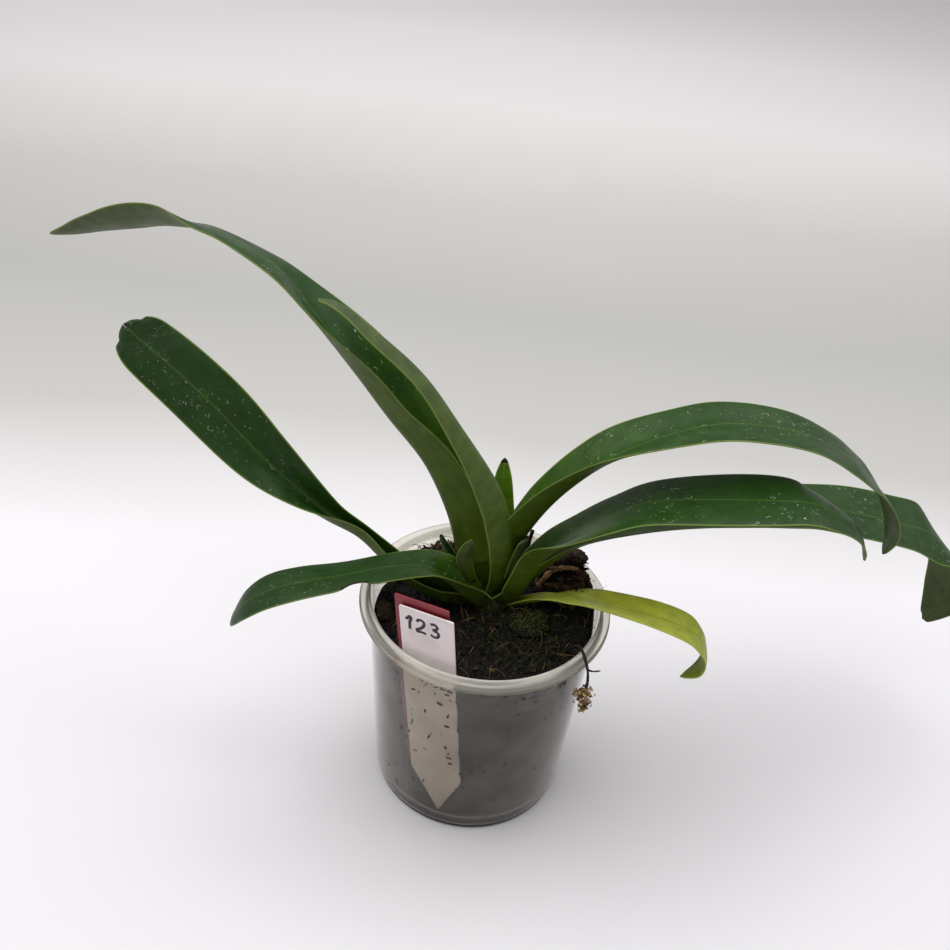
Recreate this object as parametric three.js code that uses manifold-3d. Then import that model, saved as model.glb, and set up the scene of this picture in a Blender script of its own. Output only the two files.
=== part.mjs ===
// A slipper orchid (paphiopedilum) without flower, growing in a clear plastic pot,
// with two plant labels pushed down between the pot wall and the potting mix.
// Millimetres, +Z up, the origin at the centre of the pot's base.

import * as THREE from 'three';
import { mergeVertices } from 'three/addons/utils/BufferGeometryUtils.js';
import Module from 'manifold-3d';

const wasm = await Module();
wasm.setup();

// Driving dimensions

const CLEARANCE = 0.35; // between neighbouring pieces

const POT = {
  height: 82.4,
  rimRadius: 44.1,
  rimInnerRadius: 39.7,
  ridgeHeight: 83.9, // the raised inner edge of the rim
  wallTopRadius: 40.3,
  baseRadius: 34.9,
  wall: 0.8,
  floor: 0.9,
  stepHeight: 7, // small step moulded round the foot
  segments: 48,
};

const SOIL = {
  level: 73,
  bottom: POT.floor + CLEARANCE,
  rings: 9,
  segments: 48,
  ripple: 0.7,
};

// Low hills on the potting mix: centre, height, spread
const SOIL_HILLS = [
  { x: 3, y: 8, height: 2.5, spread: 9 }, // round the crown
  { x: 30, y: 18, height: 14.5, spread: 8.5 }, // bark mound at the right back
  { x: 36, y: 5, height: 7, spread: 7 },
  { x: 16, y: -3, height: 1.6, spread: 8 }, // under the moss
  { x: -16, y: 8, height: -1.6, spread: 8 }, // hollow that the broad leaf crosses
];

const CROWN = {
  x: 2.5,
  y: 6.5,
  // height and radius up the short stem
  profile: [[58, 0], [60, 3], [68, 5.2], [76, 6.2], [80, 5], [86, 3], [91, 1.4], [92, 0]],
  segments: 14,
};

const BLADE = {
  keelThickness: 1.7,
  marginThickness: 0.85,
  keelShare: 0.35, // share of the half width over which the keel is rounded
  tipHalfWidth: 0.7, // the least half width
  columns: [-1, -0.58, -0.24, 0, 0.24, 0.58, 1],
  ringsPerSpan: 2,
};

const LABEL = {
  width: 19.6,
  length: 101,
  point: 21, // length of the pointed end
  thickness: 0.6,
  heading: -22.8, // degrees about Z, so that it follows the wall
  lean: 4.2, // degrees that it leans out with the wall
  tilt: 4.6, // degrees that it is turned in its own plane
};

// Tips of the pointed ends of the labels, on the pot's inner side
const LABEL_TIPS = {
  label_white: [-8.6, -29.9, 3.4],
  label_red: [-10.4, -27.9, 6.2],
};

// Each leaf: the direction in which it grows (degrees from +X), how far its tip is notched, and its
// stations from base to tip: x, y, z of the keel, half width, roll and fold of the blade in degrees.
const LEAVES = {
  leaf_b_folded: {
    heading: 182,
    stations: [
      [5, 6, 80, 8, 184, 60], [8, 6, 92, 11, 184, 55], [7, 6, 104, 12, 184, 46], [4, 6, 117, 12, 182, 46],
      [-2, 6, 130, 11, 178, 42], [-13, 5, 147, 9, 172, 34], [-27, 5, 166.5, 7.5, 165, 32],
      [-44, 4, 182, 5.5, 165, 30], [-54, 4, 189, 3.5, 165, 25], [-60.5, 4, 190, 1, 165, 20],
    ],
  },
  leaf_e_arched: {
    heading: 17,
    stations: [
      [5, 8, 84, 9, 30, 66], [9, 8.5, 98, 12, 34, 58], [12, 9, 107, 13, 36, 52], [19, 11, 119, 13, 30, 46],
      [29, 14, 130, 13, 22, 37], [39.5, 16, 138.5, 13, 14, 28], [56, 18, 147, 12.75, 8, 14],
      [73.5, 19.5, 152, 12.5, 2, 9], [97, 22, 150, 12, -3, 5], [115, 23, 142.5, 11.25, -7, 1],
      [124.5, 24, 135, 10, -9, 2], [132, 25, 127.5, 7.5, -5, 4], [138, 25.5, 118, 6.5, 0, 6],
      [141, 25.5, 109.5, 4.5, 0, 6], [141, 26, 100.5, 1, 0, 0],
    ],
  },
  leaf_f_creased: {
    heading: -4,
    stations: [
      [7, 4, 78, 9, 0, 66], [12, 4, 83, 10, 5, 60], [15, 4, 90, 11, 12, 52], [20.5, 4.5, 101, 12.5, 22, 42],
      [28, 4, 111, 12.5, 12, 17], [38, 3, 121.5, 12.5, 6, 5], [50, 3, 129, 13, 2, 0], [69, 1, 134, 14, -1, 2],
      [90, 0, 137, 13.5, -1, 4], [100, -1, 138, 13, 6, -2], [109, -1, 135, 11, 8, -5],
      [116.5, -2, 130, 7.5, 6, 0], [120.5, -2, 124.5, 4.5, 0, 5], [122.5, -2, 118.5, 1, 0, 0],
    ],
  },
  leaf_d_short: {
    heading: 190,
    stations: [
      [-1.5, 2, 77, 8, 0, 82], [-6.5, 1, 81, 9, 0, 84], [-11, 0.5, 86, 9, 0, 62], [-16, 0, 91, 9, 0, 40],
      [-22, 0, 94, 9, -6, 14], [-34, -1, 93, 9, -8, 2], [-50, -3, 88.5, 9, -7, 0], [-64, -6, 86, 9, -1, 1],
      [-75, -7.5, 82, 8.8, 2, -1], [-83, -8.7, 76, 7.5, 1, -2], [-87, -9.6, 70, 4, 0, -2],
      [-88.3, -10, 66.5, 1, 0, -2],
    ],
  },
  leaf_a_long: {
    heading: 168,
    stations: [
      [-2, 8, 80, 10, -6, 70], [-6, 9, 87, 14, -6, 70], [-11, 10, 94, 17, -5, 72],
      [-16.5, 10.5, 112, 18.5, -10, 70], [-25.5, 12, 130, 17.5, -14, 64], [-38, 14, 145, 15.5, -10, 57],
      [-49.5, 17, 159, 15.2, -5, 53], [-64, 20, 176, 13, -10, 24], [-76, 23, 189, 11.5, -17, 2],
      [-91, 26, 196, 10.5, -22, -1], [-102, 28, 198.5, 10.5, -24, 1], [-109, 29.5, 198.5, 10.5, -38, 8],
      [-119, 32, 197, 10.5, -40, 10], [-129, 34, 194, 9, -40, 9], [-139, 36, 190.5, 6.5, -39, 8],
      [-148, 38, 187, 3.5, -38, 6], [-154, 39.5, 185, 1, -36, 0],
    ],
  },
  leaf_g_far: {
    heading: 10,
    stations: [
      [10, 7, 79, 8, 5, 60], [17, 9, 88, 10, 14, 46], [24, 10, 97, 11, 14, 36], [34, 13.5, 103, 12.5, 14, 26],
      [58.5, 22, 108.5, 13.75, 9, 16], [78.5, 28.5, 110, 14, 5, 9], [99.5, 35, 109.5, 14, 2, 4],
      [116, 40.5, 108, 14.25, 0, -2], [136, 46, 102.5, 14.25, -8, 5], [154.5, 51, 96.5, 14.5, -10, 6],
      [168.5, 53.5, 92, 15, -14, -2], [179, 56, 83, 13.25, 8, -4], [185.5, 57, 70.5, 11.75, 26, 4],
      [186.5, 57.5, 59, 9.5, 38, 6], [183.5, 57, 48, 3.75, 40, 0], [182, 57, 45.5, 1, 40, 0],
    ],
  },
  leaf_c_broad: {
    heading: 166,
    notch: 3,
    stations: [
      [-4, 6, 74, 8, 5, 84], [-11, 7, 73.5, 9, 8, 84], [-17, 8, 74, 9, 12, 84], [-27.5, 10, 78, 8.5, 18, 84],
      [-37, 12.5, 85.5, 8, 20, 86], [-47, 17, 91.5, 7.5, 20, 95], [-59, 21, 95.5, 9, 28, 78],
      [-70, 24, 103, 10, 40, 54], [-84, 27, 114, 11, 44, 25], [-99, 31, 128, 11.7, 46, 3],
      [-112, 35, 138, 11.5, 45, 3], [-124, 38, 146.5, 10.9, 38, 8], [-128.5, 38.8, 150, 9.6, 37, 7],
      [-131.5, 39.3, 152.5, 7, 36, 5],
    ],
  },
  leaf_h_young: {
    heading: -15,
    stations: [
      [9, 5, 75.5, 3, 10, 50], [17, 2, 82, 4, 20, 30], [23, 0, 86, 6, 26, 6], [29, -1, 88, 8, 21, 4],
      [36, -3, 89, 8, 16, 12], [43, -5, 89, 8, 11, 19], [57, -9, 90, 8, 5, 16], [68, -12, 89, 8, 5, 8],
      [73, -13, 86, 7, 6, 3], [76.5, -14, 80.5, 6, 10, 0], [75.5, -14, 73.5, 4.5, 10, 0],
      [70.5, -13, 67.5, 1, 0, 0],
    ],
  },
  leaf_i_upright: {
    heading: 90,
    stations: [
      [5.5, 11, 90, 2.5, 0, 30], [5, 14, 99, 3.2, 0, 30], [3.6, 15.5, 108, 3.7, 0, 26],
      [2.2, 16, 116, 3.9, 0, 22], [1.5, 16, 124.5, 3, 0, 15], [1.2, 16, 132, 0.8, 0, 0],
    ],
  },
  leaf_k_stub: {
    heading: -90,
    stations: [
      [-5.4, 3.6, 86, 2.4, 0, 15], [-7.4, 3.4, 91, 2.8, 0, 15], [-8.9, 3, 96.5, 2.9, 0, 15],
      [-8.2, 2.8, 101.2, 2.5, 0, 15], [-6.4, 2.8, 104.4, 1.8, 0, 10], [-4.9, 2.8, 106, 0.8, 0, 5],
    ],
  },
  leaf_j_stub: {
    heading: 150,
    stations: [
      [-11, 13, 70, 3, 0, 40], [-12, 13, 78, 3, 0, 40], [-13.9, 13, 87.4, 3, 0, 35],
      [-15.7, 13, 91.8, 2.4, 0, 30], [-17, 13, 95, 1.6, 0, 20], [-18.1, 13, 98.6, 0.8, 0, 0],
    ],
  },
  leaf_l_sheath: {
    heading: 0,
    stations: [
      [8.5, 4, 90, 4, 0, 66], [9.5, 4.5, 96, 4.5, 0, 62], [11, 5, 102, 5, 0, 58], [12.2, 5, 108, 4.6, 0, 55],
    ],
  },
};

// The bite in the lower margin of the short leaf
const BITE = { at: [-45.5, -11.6, 88.4], half: [3.2, 1.7, 4] };

// Bark chips that lie on the mix: centre, half sizes, turn about Z
const CHIPS = {
  bark_chip_1: { at: [29, 22, 86.5], half: [7, 4.5, 2.6], turn: 20 },
  bark_chip_2: { at: [33, 11, 83.5], half: [4.4, 3.4, 2.6], turn: -50 },
  bark_chip_3: { at: [19, 24, 80], half: [5.5, 3.4, 2], turn: 60 },
  bark_chip_4: { at: [24, 9, 80.2], half: [4.2, 3, 1.8], turn: 10 },
  bark_chip_5: { at: [-18.5, 27.5, 75], half: [5, 3.2, 2.4], turn: -20 },
  bark_chip_6: { at: [-34.5, -5, 76], half: [3, 3.6, 4.4], turn: 15 },
  bark_chip_7: { at: [-7, 33, 74.6], half: [5.5, 3, 2], turn: 5 },
};
const CHIP_ROUGHNESS = 0.22;

const ROOT_STRIP = { radius: 1.1, points: [[18.5, 12.5], [23, 15.2], [27.5, 14.2], [32, 13]], lift: 0.7 };

const STICK = { radius: 1, from: [13, 31, 72], to: [15.5, 35, 87.5] };

const MOSS = { centre: [16, -3.5], half: [7.2, 6.8, 2.6], lumps: 9, lumpRadius: 2.6, roughness: 0.12 };

const TWIG = {
  radius: 0.75,
  points: [[29.5, -14, 75], [31.6, -19, 82.6], [33.1, -24, 85.8], [34.9, -29.8, 84.2], [36, -29.6, 78.5],
    [36.6, -26.8, 71.5]],
  sideTwig: [[35.3, -30, 83], [37.2, -29.6, 82.2], [39.6, -29.4, 82.6]],
  // the dry tuft on its end: centre and radius of each lobe
  lobes: [[36.4, -26.2, 70, 2.2], [37.8, -25.4, 67, 2.5], [35.6, -26.4, 65.6, 2.1], [37.4, -25.6, 63, 2.2],
    [34.6, -26.2, 68.4, 1.7], [36.8, -25.8, 60.4, 1.5]],
};

// Materials

const COLOURS = {
  pot: { color: 0xc9cdd2, roughness: 0.15, metalness: 0, transparent: true, opacity: 0.5 },
  soil: { color: 0x1e1712, roughness: 0.95, metalness: 0 },
  bark: { color: 0x4a3020, roughness: 0.9, metalness: 0 },
  root: { color: 0xb08a60, roughness: 0.8, metalness: 0 },
  moss: { color: 0x6a7a1e, roughness: 0.95, metalness: 0 },
  crown: { color: 0x3a4a16, roughness: 0.5, metalness: 0 },
  leaf: { color: 0x2f5a2a, roughness: 0.45, metalness: 0 },
  youngLeaf: { color: 0x86a030, roughness: 0.45, metalness: 0 },
  white: { color: 0xe6e2de, roughness: 0.4, metalness: 0 },
  red: { color: 0x8c1f2b, roughness: 0.4, metalness: 0 },
  dry: { color: 0xb89a6a, roughness: 0.9, metalness: 0 },
};

const { degToRad: radians, lerp } = THREE.MathUtils;

/** Repeatable random numbers from 0 to 1. */
function seeded(seed) {
  let state = seed;
  return () => {
    state = (state * 1664525 + 1013904223) % 4294967296;
    return state / 4294967296;
  };
}

// Solids: joining and cutting

/** A closed geometry as a solid. */
function solid(geometry) {
  const bare = geometry.clone();
  bare.deleteAttribute('normal');
  bare.deleteAttribute('uv');
  const merged = mergeVertices(bare, 1e-4);
  return new wasm.Manifold(new wasm.Mesh({
    numProp: 3,
    vertProperties: new Float32Array(merged.attributes.position.array),
    triVerts: new Uint32Array(merged.index.array),
  }));
}

/** The largest body of a solid as a geometry: loose scraps that a cut leaves are dropped. */
function geometryOf(body) {
  const largest = body.decompose().reduce((best, piece) => (piece.volume() > best.volume() ? piece : best));
  const mesh = largest.getMesh();
  const geometry = new THREE.BufferGeometry();
  geometry.setAttribute('position', new THREE.BufferAttribute(mesh.vertProperties, 3));
  geometry.setIndex(new THREE.BufferAttribute(mesh.triVerts, 1));
  geometry.computeVertexNormals();
  return geometry;
}

/** One solid from several that overlap. */
function fuse(solids) {
  return solids.reduce((whole, next) => whole.add(next));
}

/** A solid with others cut out of it. */
function cut(body, tools) {
  return tools.reduce((rest, tool) => rest.subtract(tool), body);
}

// Pot

/** Profile of the pot, from the axis under the floor, up the outside, over the rim and down the inside. */
function potProfile(pot) {
  const innerTop = pot.wallTopRadius - pot.wall;
  const innerBase = pot.baseRadius - pot.wall;
  return [
    [0, 0],
    [pot.baseRadius - 0.9, 0],
    [pot.baseRadius, 0.9],
    [pot.baseRadius + 0.4, pot.stepHeight - 1],
    [pot.baseRadius + 0.9, pot.stepHeight],
    [pot.wallTopRadius, pot.height - 3],
    [pot.rimRadius - 1.4, pot.height - 2.2],
    [pot.rimRadius, pot.height - 1.5],
    [pot.rimRadius, pot.height - 0.5],
    [pot.rimRadius - 0.6, pot.height],
    [pot.rimRadius - 1.5, pot.height - 0.3],
    [pot.rimRadius - 2.6, pot.height],
    [pot.rimInnerRadius + 1, pot.ridgeHeight - 0.2],
    [pot.rimInnerRadius + 0.4, pot.ridgeHeight],
    [pot.rimInnerRadius, pot.ridgeHeight - 0.5],
    [innerTop, pot.height - 4],
    [innerBase + 0.9, pot.stepHeight + 0.4],
    [innerBase + 0.3, pot.stepHeight - 0.6],
    [innerBase, pot.floor + 0.8],
    [innerBase - 0.8, pot.floor],
    [0, pot.floor],
  ].map(([r, z]) => new THREE.Vector2(r, z));
}

/** A solid of revolution about Z from a profile of radius and height. */
function turned(profile, segments) {
  return new THREE.LatheGeometry(profile, segments).rotateX(Math.PI / 2);
}

/** Radius of the pot's inner wall at a height, above the step. */
function innerRadius(z) {
  const share = (z - POT.stepHeight) / (POT.height - 4 - POT.stepHeight);
  const low = POT.baseRadius - POT.wall + 0.9;
  return lerp(low, POT.wallTopRadius - POT.wall, share);
}

// Potting mix

/** Height of the potting mix at a point of the pot. */
function soilHeight(x, y) {
  const coarse = Math.sin(0.55 * x + 0.3 * y) * Math.cos(0.47 * y - 0.2 * x);
  const ripple = coarse + 0.6 * Math.sin(1.1 * x - 0.9 * y);
  const hills = SOIL_HILLS.reduce((sum, hill) => {
    const distance = ((x - hill.x) ** 2 + (y - hill.y) ** 2) / (2 * hill.spread ** 2);
    return sum + hill.height * Math.exp(-distance);
  }, 0);
  return SOIL.level + SOIL.ripple * ripple + hills;
}

/** The plug of potting mix: a turned body whose top follows soilHeight. */
function soilPlug() {
  const edge = innerRadius(SOIL.level) - CLEARANCE;
  const foot = POT.baseRadius - POT.wall + 0.9 - CLEARANCE;
  const narrow = POT.baseRadius - POT.wall - 0.8 - CLEARANCE;
  const profile = [
    [0, SOIL.bottom],
    [narrow, SOIL.bottom],
    [narrow + 0.4, POT.stepHeight - 1],
    [foot, POT.stepHeight + 1.5],
  ];
  for (let ring = SOIL.rings; ring >= 0; ring -= 1) {
    profile.push([(edge * ring) / SOIL.rings, SOIL.level]);
  }
  const plug = turned(profile.map(([r, z]) => new THREE.Vector2(r, z)), SOIL.segments);
  const position = plug.attributes.position;
  for (let i = 0; i < position.count; i += 1) {
    if (position.getZ(i) > SOIL.level - 1e-3) {
      position.setZ(i, soilHeight(position.getX(i), position.getY(i)));
    }
  }
  return plug;
}

// Leaves

/** Point and normal of a blade's section at a share of the half width, in the section's own axes. */
function sectionPoint(share, halfWidth, fold) {
  const side = Math.sign(share);
  const reach = Math.abs(share);
  const bent = Math.min(reach, BLADE.keelShare);
  const angle = (fold * bent) / BLADE.keelShare;
  const flat = Math.abs(fold) < 1e-3;
  const radius = flat ? 0 : (BLADE.keelShare * halfWidth) / fold;
  const across = flat ? bent * halfWidth : radius * Math.sin(angle);
  const up = flat ? 0 : radius * (1 - Math.cos(angle));
  const rest = (reach - bent) * halfWidth;
  return {
    across: side * (across + rest * Math.cos(fold)),
    up: up + rest * Math.sin(fold),
    normalAcross: -side * Math.sin(angle),
    normalUp: Math.cos(angle),
  };
}

/** A smooth curve through triples of numbers, with its points evenly shared out over its whole. */
function smooth(triples) {
  const points = triples.map((triple) => new THREE.Vector3(...triple));
  return new THREE.CatmullRomCurve3(points, false, 'catmullrom');
}

/** A leaf blade from its stations. A positive swell gives the same blade, larger all round. */
function blade({ heading, stations, notch = 0 }, swell = 0) {
  const path = smooth(stations.map(([x, y, z]) => [x, y, z]));
  const form = smooth(stations.map(([, , , width, roll, fold]) => [width, roll, fold]));
  const sideways = new THREE.Vector3(Math.sin(radians(heading)), -Math.cos(radians(heading)), 0);
  const rings = (stations.length - 1) * BLADE.ringsPerSpan;
  const columns = BLADE.columns.length;
  const points = [];
  for (let ring = 0; ring <= rings; ring += 1) {
    const along = ring / rings;
    const centre = path.getPoint(along);
    const ahead = path.getTangent(along);
    const side = sideways.clone().addScaledVector(ahead, -sideways.dot(ahead)).normalize();
    const upper = side.clone().cross(ahead);
    const { x: width, y: rollDegrees, z: fold } = form.getPoint(along);
    const roll = radians(rollDegrees);
    const rolledSide = side.clone().multiplyScalar(Math.cos(roll)).addScaledVector(upper, Math.sin(roll));
    const rolledUpper = upper.clone().multiplyScalar(Math.cos(roll)).addScaledVector(side, -Math.sin(roll));
    const halfWidth = Math.max(width, BLADE.tipHalfWidth) + swell;
    const endPush = ring === 0 ? -swell : ring === rings ? swell : 0;
    for (const face of [0.5, -0.5]) {
      for (const share of BLADE.columns) {
        const section = sectionPoint(share, halfWidth, radians(fold));
        const thickness = lerp(BLADE.keelThickness, BLADE.marginThickness, Math.abs(share)) + 2 * swell;
        const lobe = notch * along ** 12 * Math.sin(Math.PI * Math.min(1, 1.4 * Math.abs(share)));
        const point = centre.clone()
          .addScaledVector(rolledSide, section.across + face * thickness * section.normalAcross)
          .addScaledVector(rolledUpper, section.up + face * thickness * section.normalUp)
          .addScaledVector(ahead, lobe + endPush);
        points.push(point);
      }
    }
  }
  const index = [];
  const at = (ring, lower, column) => (ring * 2 + lower) * columns + column;
  const quad = (a, b, c, d) => index.push(a, b, c, a, c, d);
  for (let ring = 0; ring < rings; ring += 1) {
    for (let column = 0; column < columns - 1; column += 1) {
      const [a, b] = [at(ring, 0, column), at(ring, 0, column + 1)];
      const [c, d] = [at(ring + 1, 0, column + 1), at(ring + 1, 0, column)];
      quad(a, b, c, d);
      index.push(a + columns, c + columns, b + columns, a + columns, d + columns, c + columns);
    }
    const last = columns - 1;
    quad(at(ring, 0, last), at(ring, 1, last), at(ring + 1, 1, last), at(ring + 1, 0, last));
    quad(at(ring + 1, 0, 0), at(ring + 1, 1, 0), at(ring, 1, 0), at(ring, 0, 0));
  }
  for (let column = 0; column < columns - 1; column += 1) {
    quad(at(0, 0, column), at(0, 1, column), at(0, 1, column + 1), at(0, 0, column + 1));
    quad(at(rings, 0, column + 1), at(rings, 1, column + 1), at(rings, 1, column), at(rings, 0, column));
  }
  const geometry = new THREE.BufferGeometry().setFromPoints(points);
  geometry.setIndex(index);
  return geometry;
}

// Crown, labels and small pieces

/** The short stem, larger all round by a swell. */
function crown(swell = 0) {
  const last = CROWN.profile.length - 1;
  const profile = CROWN.profile.map(([z, r], i) => {
    const end = i === 0 ? -swell : i === last ? swell : 0;
    return new THREE.Vector2(r === 0 ? 0 : r + swell, z + end);
  });
  return turned(profile, CROWN.segments).translate(CROWN.x, CROWN.y, 0);
}

/** A plant label with a pointed end, its tip at the origin; a swell and a front reach make its slot. */
function label(swell = 0, frontReach = 0) {
  const half = LABEL.width / 2 + swell;
  const outline = new THREE.Shape();
  outline.moveTo(0, -swell);
  outline.lineTo(half, LABEL.point);
  outline.lineTo(half, LABEL.length + swell);
  outline.lineTo(-half, LABEL.length + swell);
  outline.lineTo(-half, LABEL.point);
  outline.closePath();
  const depth = LABEL.thickness + 2 * swell + frontReach;
  return new THREE.ExtrudeGeometry(outline, { depth, bevelEnabled: false, steps: 1 })
    .translate(0, 0, -LABEL.thickness / 2 - swell)
    .rotateZ(radians(LABEL.tilt))
    .rotateX(radians(90 + LABEL.lean))
    .rotateZ(radians(LABEL.heading));
}

/** An uneven stone-like lump with its centre at the origin. */
function lump([a, b, c], seed, swell = 0, roughness = CHIP_ROUGHNESS) {
  const random = seeded(seed);
  const form = mergeVertices(stripped(new THREE.IcosahedronGeometry(1, 1)), 1e-4);
  const position = form.attributes.position;
  const vertex = new THREE.Vector3();
  for (let i = 0; i < position.count; i += 1) {
    vertex.fromBufferAttribute(position, i).multiplyScalar(1 + roughness * (random() - 0.5) * 2);
    vertex.multiply(new THREE.Vector3(a, b, c));
    vertex.multiplyScalar(1 + swell / vertex.length());
    position.setXYZ(i, vertex.x, vertex.y, vertex.z);
  }
  return form;
}

/** A geometry with nothing but its positions. */
function stripped(geometry) {
  geometry.deleteAttribute('normal');
  geometry.deleteAttribute('uv');
  return geometry;
}

/** A bark chip where it lies. */
function chip({ at, half, turn }, seed, swell = 0) {
  return lump(half, seed, swell).rotateZ(radians(turn)).translate(...at);
}

/** A round rod along a smooth curve through points. */
function rod(points, radius, sides = 6, steps = 12) {
  const section = new THREE.Shape();
  for (let i = 0; i < sides; i += 1) {
    const angle = (2 * Math.PI * i) / sides;
    const [x, y] = [radius * Math.cos(angle), radius * Math.sin(angle)];
    if (i === 0) section.moveTo(x, y);
    else section.lineTo(x, y);
  }
  section.closePath();
  const extrudePath = new THREE.CatmullRomCurve3(points.map((point) => new THREE.Vector3(...point)));
  return new THREE.ExtrudeGeometry(section, { steps, extrudePath, bevelEnabled: false });
}

/** The tan root that lies on the bark mound. */
function rootStrip(swell = 0) {
  const points = ROOT_STRIP.points.map(([x, y]) => [x, y, soilHeight(x, y) + ROOT_STRIP.lift]);
  return rod(points, ROOT_STRIP.radius + swell);
}

/** The moss cushion: a low lump with smaller lumps on it. */
function moss(swell = 0) {
  const random = seeded(5);
  const [x, y] = MOSS.centre;
  const height = soilHeight(x, y) + 0.4;
  const lumps = [solid(lump(MOSS.half, 11, swell, MOSS.roughness).translate(x, y, height))];
  for (let i = 0; i < MOSS.lumps; i += 1) {
    const angle = 2.4 * i;
    const reach = 0.62 * Math.sqrt((i + 0.5) / MOSS.lumps);
    const size = MOSS.lumpRadius * (0.8 + 0.4 * random());
    const across = MOSS.half[0] * reach * Math.cos(angle);
    const away = MOSS.half[1] * reach * Math.sin(angle);
    const bump = lump([size, size, size * 0.8], 20 + i, swell, MOSS.roughness);
    lumps.push(solid(bump.translate(x + across, y + away, height + 1)));
  }
  return fuse(lumps);
}

/** The dry twig that hangs over the rim, with the tuft on its end. */
function dryTwig(swell = 0) {
  const lobes = TWIG.lobes.map(([x, y, z, r], i) =>
    solid(lump([r, r, r * 1.1], 40 + i, swell).translate(x, y, z)));
  return fuse([
    solid(rod(TWIG.points, TWIG.radius + swell, 6, 16)),
    solid(rod(TWIG.sideTwig, TWIG.radius * 0.7 + swell, 5, 4)),
    ...lobes,
  ]);
}

// Assembly

const orchid = new THREE.Group();

/** Adds one piece under its name. */
function addPiece(name, body, colour) {
  const mesh = new THREE.Mesh(geometryOf(body), new THREE.MeshStandardMaterial(COLOURS[colour]));
  mesh.name = name;
  orchid.add(mesh);
}

const leafNames = Object.keys(LEAVES);
const leafSpace = Object.fromEntries(leafNames.map((name) => [name, solid(blade(LEAVES[name], CLEARANCE))]));
const crownSpace = solid(crown(CLEARANCE));

addPiece('pot', solid(turned(potProfile(POT), POT.segments)), 'pot');
addPiece('crown', solid(crown()), 'crown');

// Each leaf gives way to the crown and to the leaves nearer to the stem
const bite = solid(new THREE.SphereGeometry(1, 10, 6).scale(...BITE.half).translate(...BITE.at));
leafNames.forEach((name, i) => {
  const tools = [crownSpace, ...leafNames.slice(0, i).map((inner) => leafSpace[inner])];
  if (name === 'leaf_d_short') tools.push(bite);
  const colour = name === 'leaf_h_young' ? 'youngLeaf' : 'leaf';
  addPiece(name, cut(solid(blade(LEAVES[name])), tools), colour);
});

const leafTools = [crownSpace, ...Object.values(leafSpace)];

const chipNames = Object.keys(CHIPS);
const chipSpace = [];
chipNames.forEach((name, i) => {
  const seed = 100 + i;
  addPiece(name, cut(solid(chip(CHIPS[name], seed)), [...leafTools, ...chipSpace]), 'bark');
  chipSpace.push(solid(chip(CHIPS[name], seed, CLEARANCE)));
});

const stickEnds = [STICK.from, STICK.to];
addPiece('root_strip', cut(solid(rootStrip()), chipSpace), 'root');
addPiece('stick', cut(solid(rod(stickEnds, STICK.radius, 6, 2)), chipSpace), 'bark');
addPiece('moss_patch', cut(moss(), leafTools), 'moss');
addPiece('dry_twig', dryTwig(), 'dry');

const labelSlots = [];
for (const [name, tip] of Object.entries(LABEL_TIPS)) {
  const body = solid(label().translate(...tip));
  addPiece(name, body, name === 'label_white' ? 'white' : 'red');
  labelSlots.push(solid(label(CLEARANCE, 8).translate(...tip)));
}

const small = [
  solid(rootStrip(CLEARANCE)),
  solid(rod(stickEnds, STICK.radius + CLEARANCE, 6, 2)),
  moss(CLEARANCE),
  dryTwig(CLEARANCE),
];
const holes = [...leafTools, ...chipSpace, ...small, ...labelSlots];
addPiece('substrate', cut(solid(soilPlug()), holes), 'soil');

export default orchid;
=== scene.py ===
"""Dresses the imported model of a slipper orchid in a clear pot: leaves, potting mix, labels and pot."""

import logging
import math
import random
from collections.abc import Callable, Sequence
from dataclasses import dataclass, field
from enum import Enum

import bmesh
import bpy
from mathutils import Matrix, Vector, noise


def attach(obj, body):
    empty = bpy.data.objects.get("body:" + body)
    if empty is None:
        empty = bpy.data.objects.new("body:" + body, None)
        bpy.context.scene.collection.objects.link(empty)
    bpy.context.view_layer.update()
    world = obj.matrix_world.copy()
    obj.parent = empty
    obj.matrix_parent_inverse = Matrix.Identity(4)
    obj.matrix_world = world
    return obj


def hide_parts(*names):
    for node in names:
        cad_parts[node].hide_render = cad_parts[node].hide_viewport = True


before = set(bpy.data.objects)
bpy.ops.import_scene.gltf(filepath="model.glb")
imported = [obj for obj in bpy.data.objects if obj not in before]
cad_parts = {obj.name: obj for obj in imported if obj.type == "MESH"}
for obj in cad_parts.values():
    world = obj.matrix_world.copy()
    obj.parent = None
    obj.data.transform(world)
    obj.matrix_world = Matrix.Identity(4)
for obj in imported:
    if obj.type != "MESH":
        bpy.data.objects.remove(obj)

LOG = logging.getLogger("orchid")
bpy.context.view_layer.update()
MM = 0.001
ROOT = "root"
RULE = 100

Row = tuple[float, ...]
Colour = tuple[float, float, float, float]


# Colours, nodes and meshes


def linear(code: str) -> Colour:
    """Turns an sRGB hex colour, such as "#2f5a2a", to the linear one that shaders take."""
    shares = [int(code[i : i + 2], 16) / 255 for i in (1, 3, 5)]
    red, green, blue = (s / 12.92 if s <= 0.04045 else ((s + 0.055) / 1.055) ** 2.4 for s in shares)
    return red, green, blue, 1.0


def add_node(tree: bpy.types.NodeTree, kind: str, inputs: dict | None = None,
             **settings: object) -> bpy.types.Node:
    """Adds a node.

    Args:
        tree: the node tree that gets it.
        kind: the node's type name without its "ShaderNode".
        inputs: values, or sockets to link from, by the name or number of the input.
        settings: the node's own properties; ramp is a list of (position, hex colour).

    Returns:
        The new node.
    """
    node = tree.nodes.new("ShaderNode" + kind)
    for name, value in settings.items():
        if name != "ramp":
            setattr(node, name, value)
            continue
        stops = node.color_ramp.elements
        while len(stops) < len(value):
            stops.new(1.0)
        for stop, (position, code) in zip(stops, value):
            stop.position, stop.color = position, linear(code)
    for key, value in (inputs or {}).items():
        if isinstance(value, bpy.types.NodeSocket):
            tree.links.new(value, node.inputs[key])
        else:
            node.inputs[key].default_value = value
    return node


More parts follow.
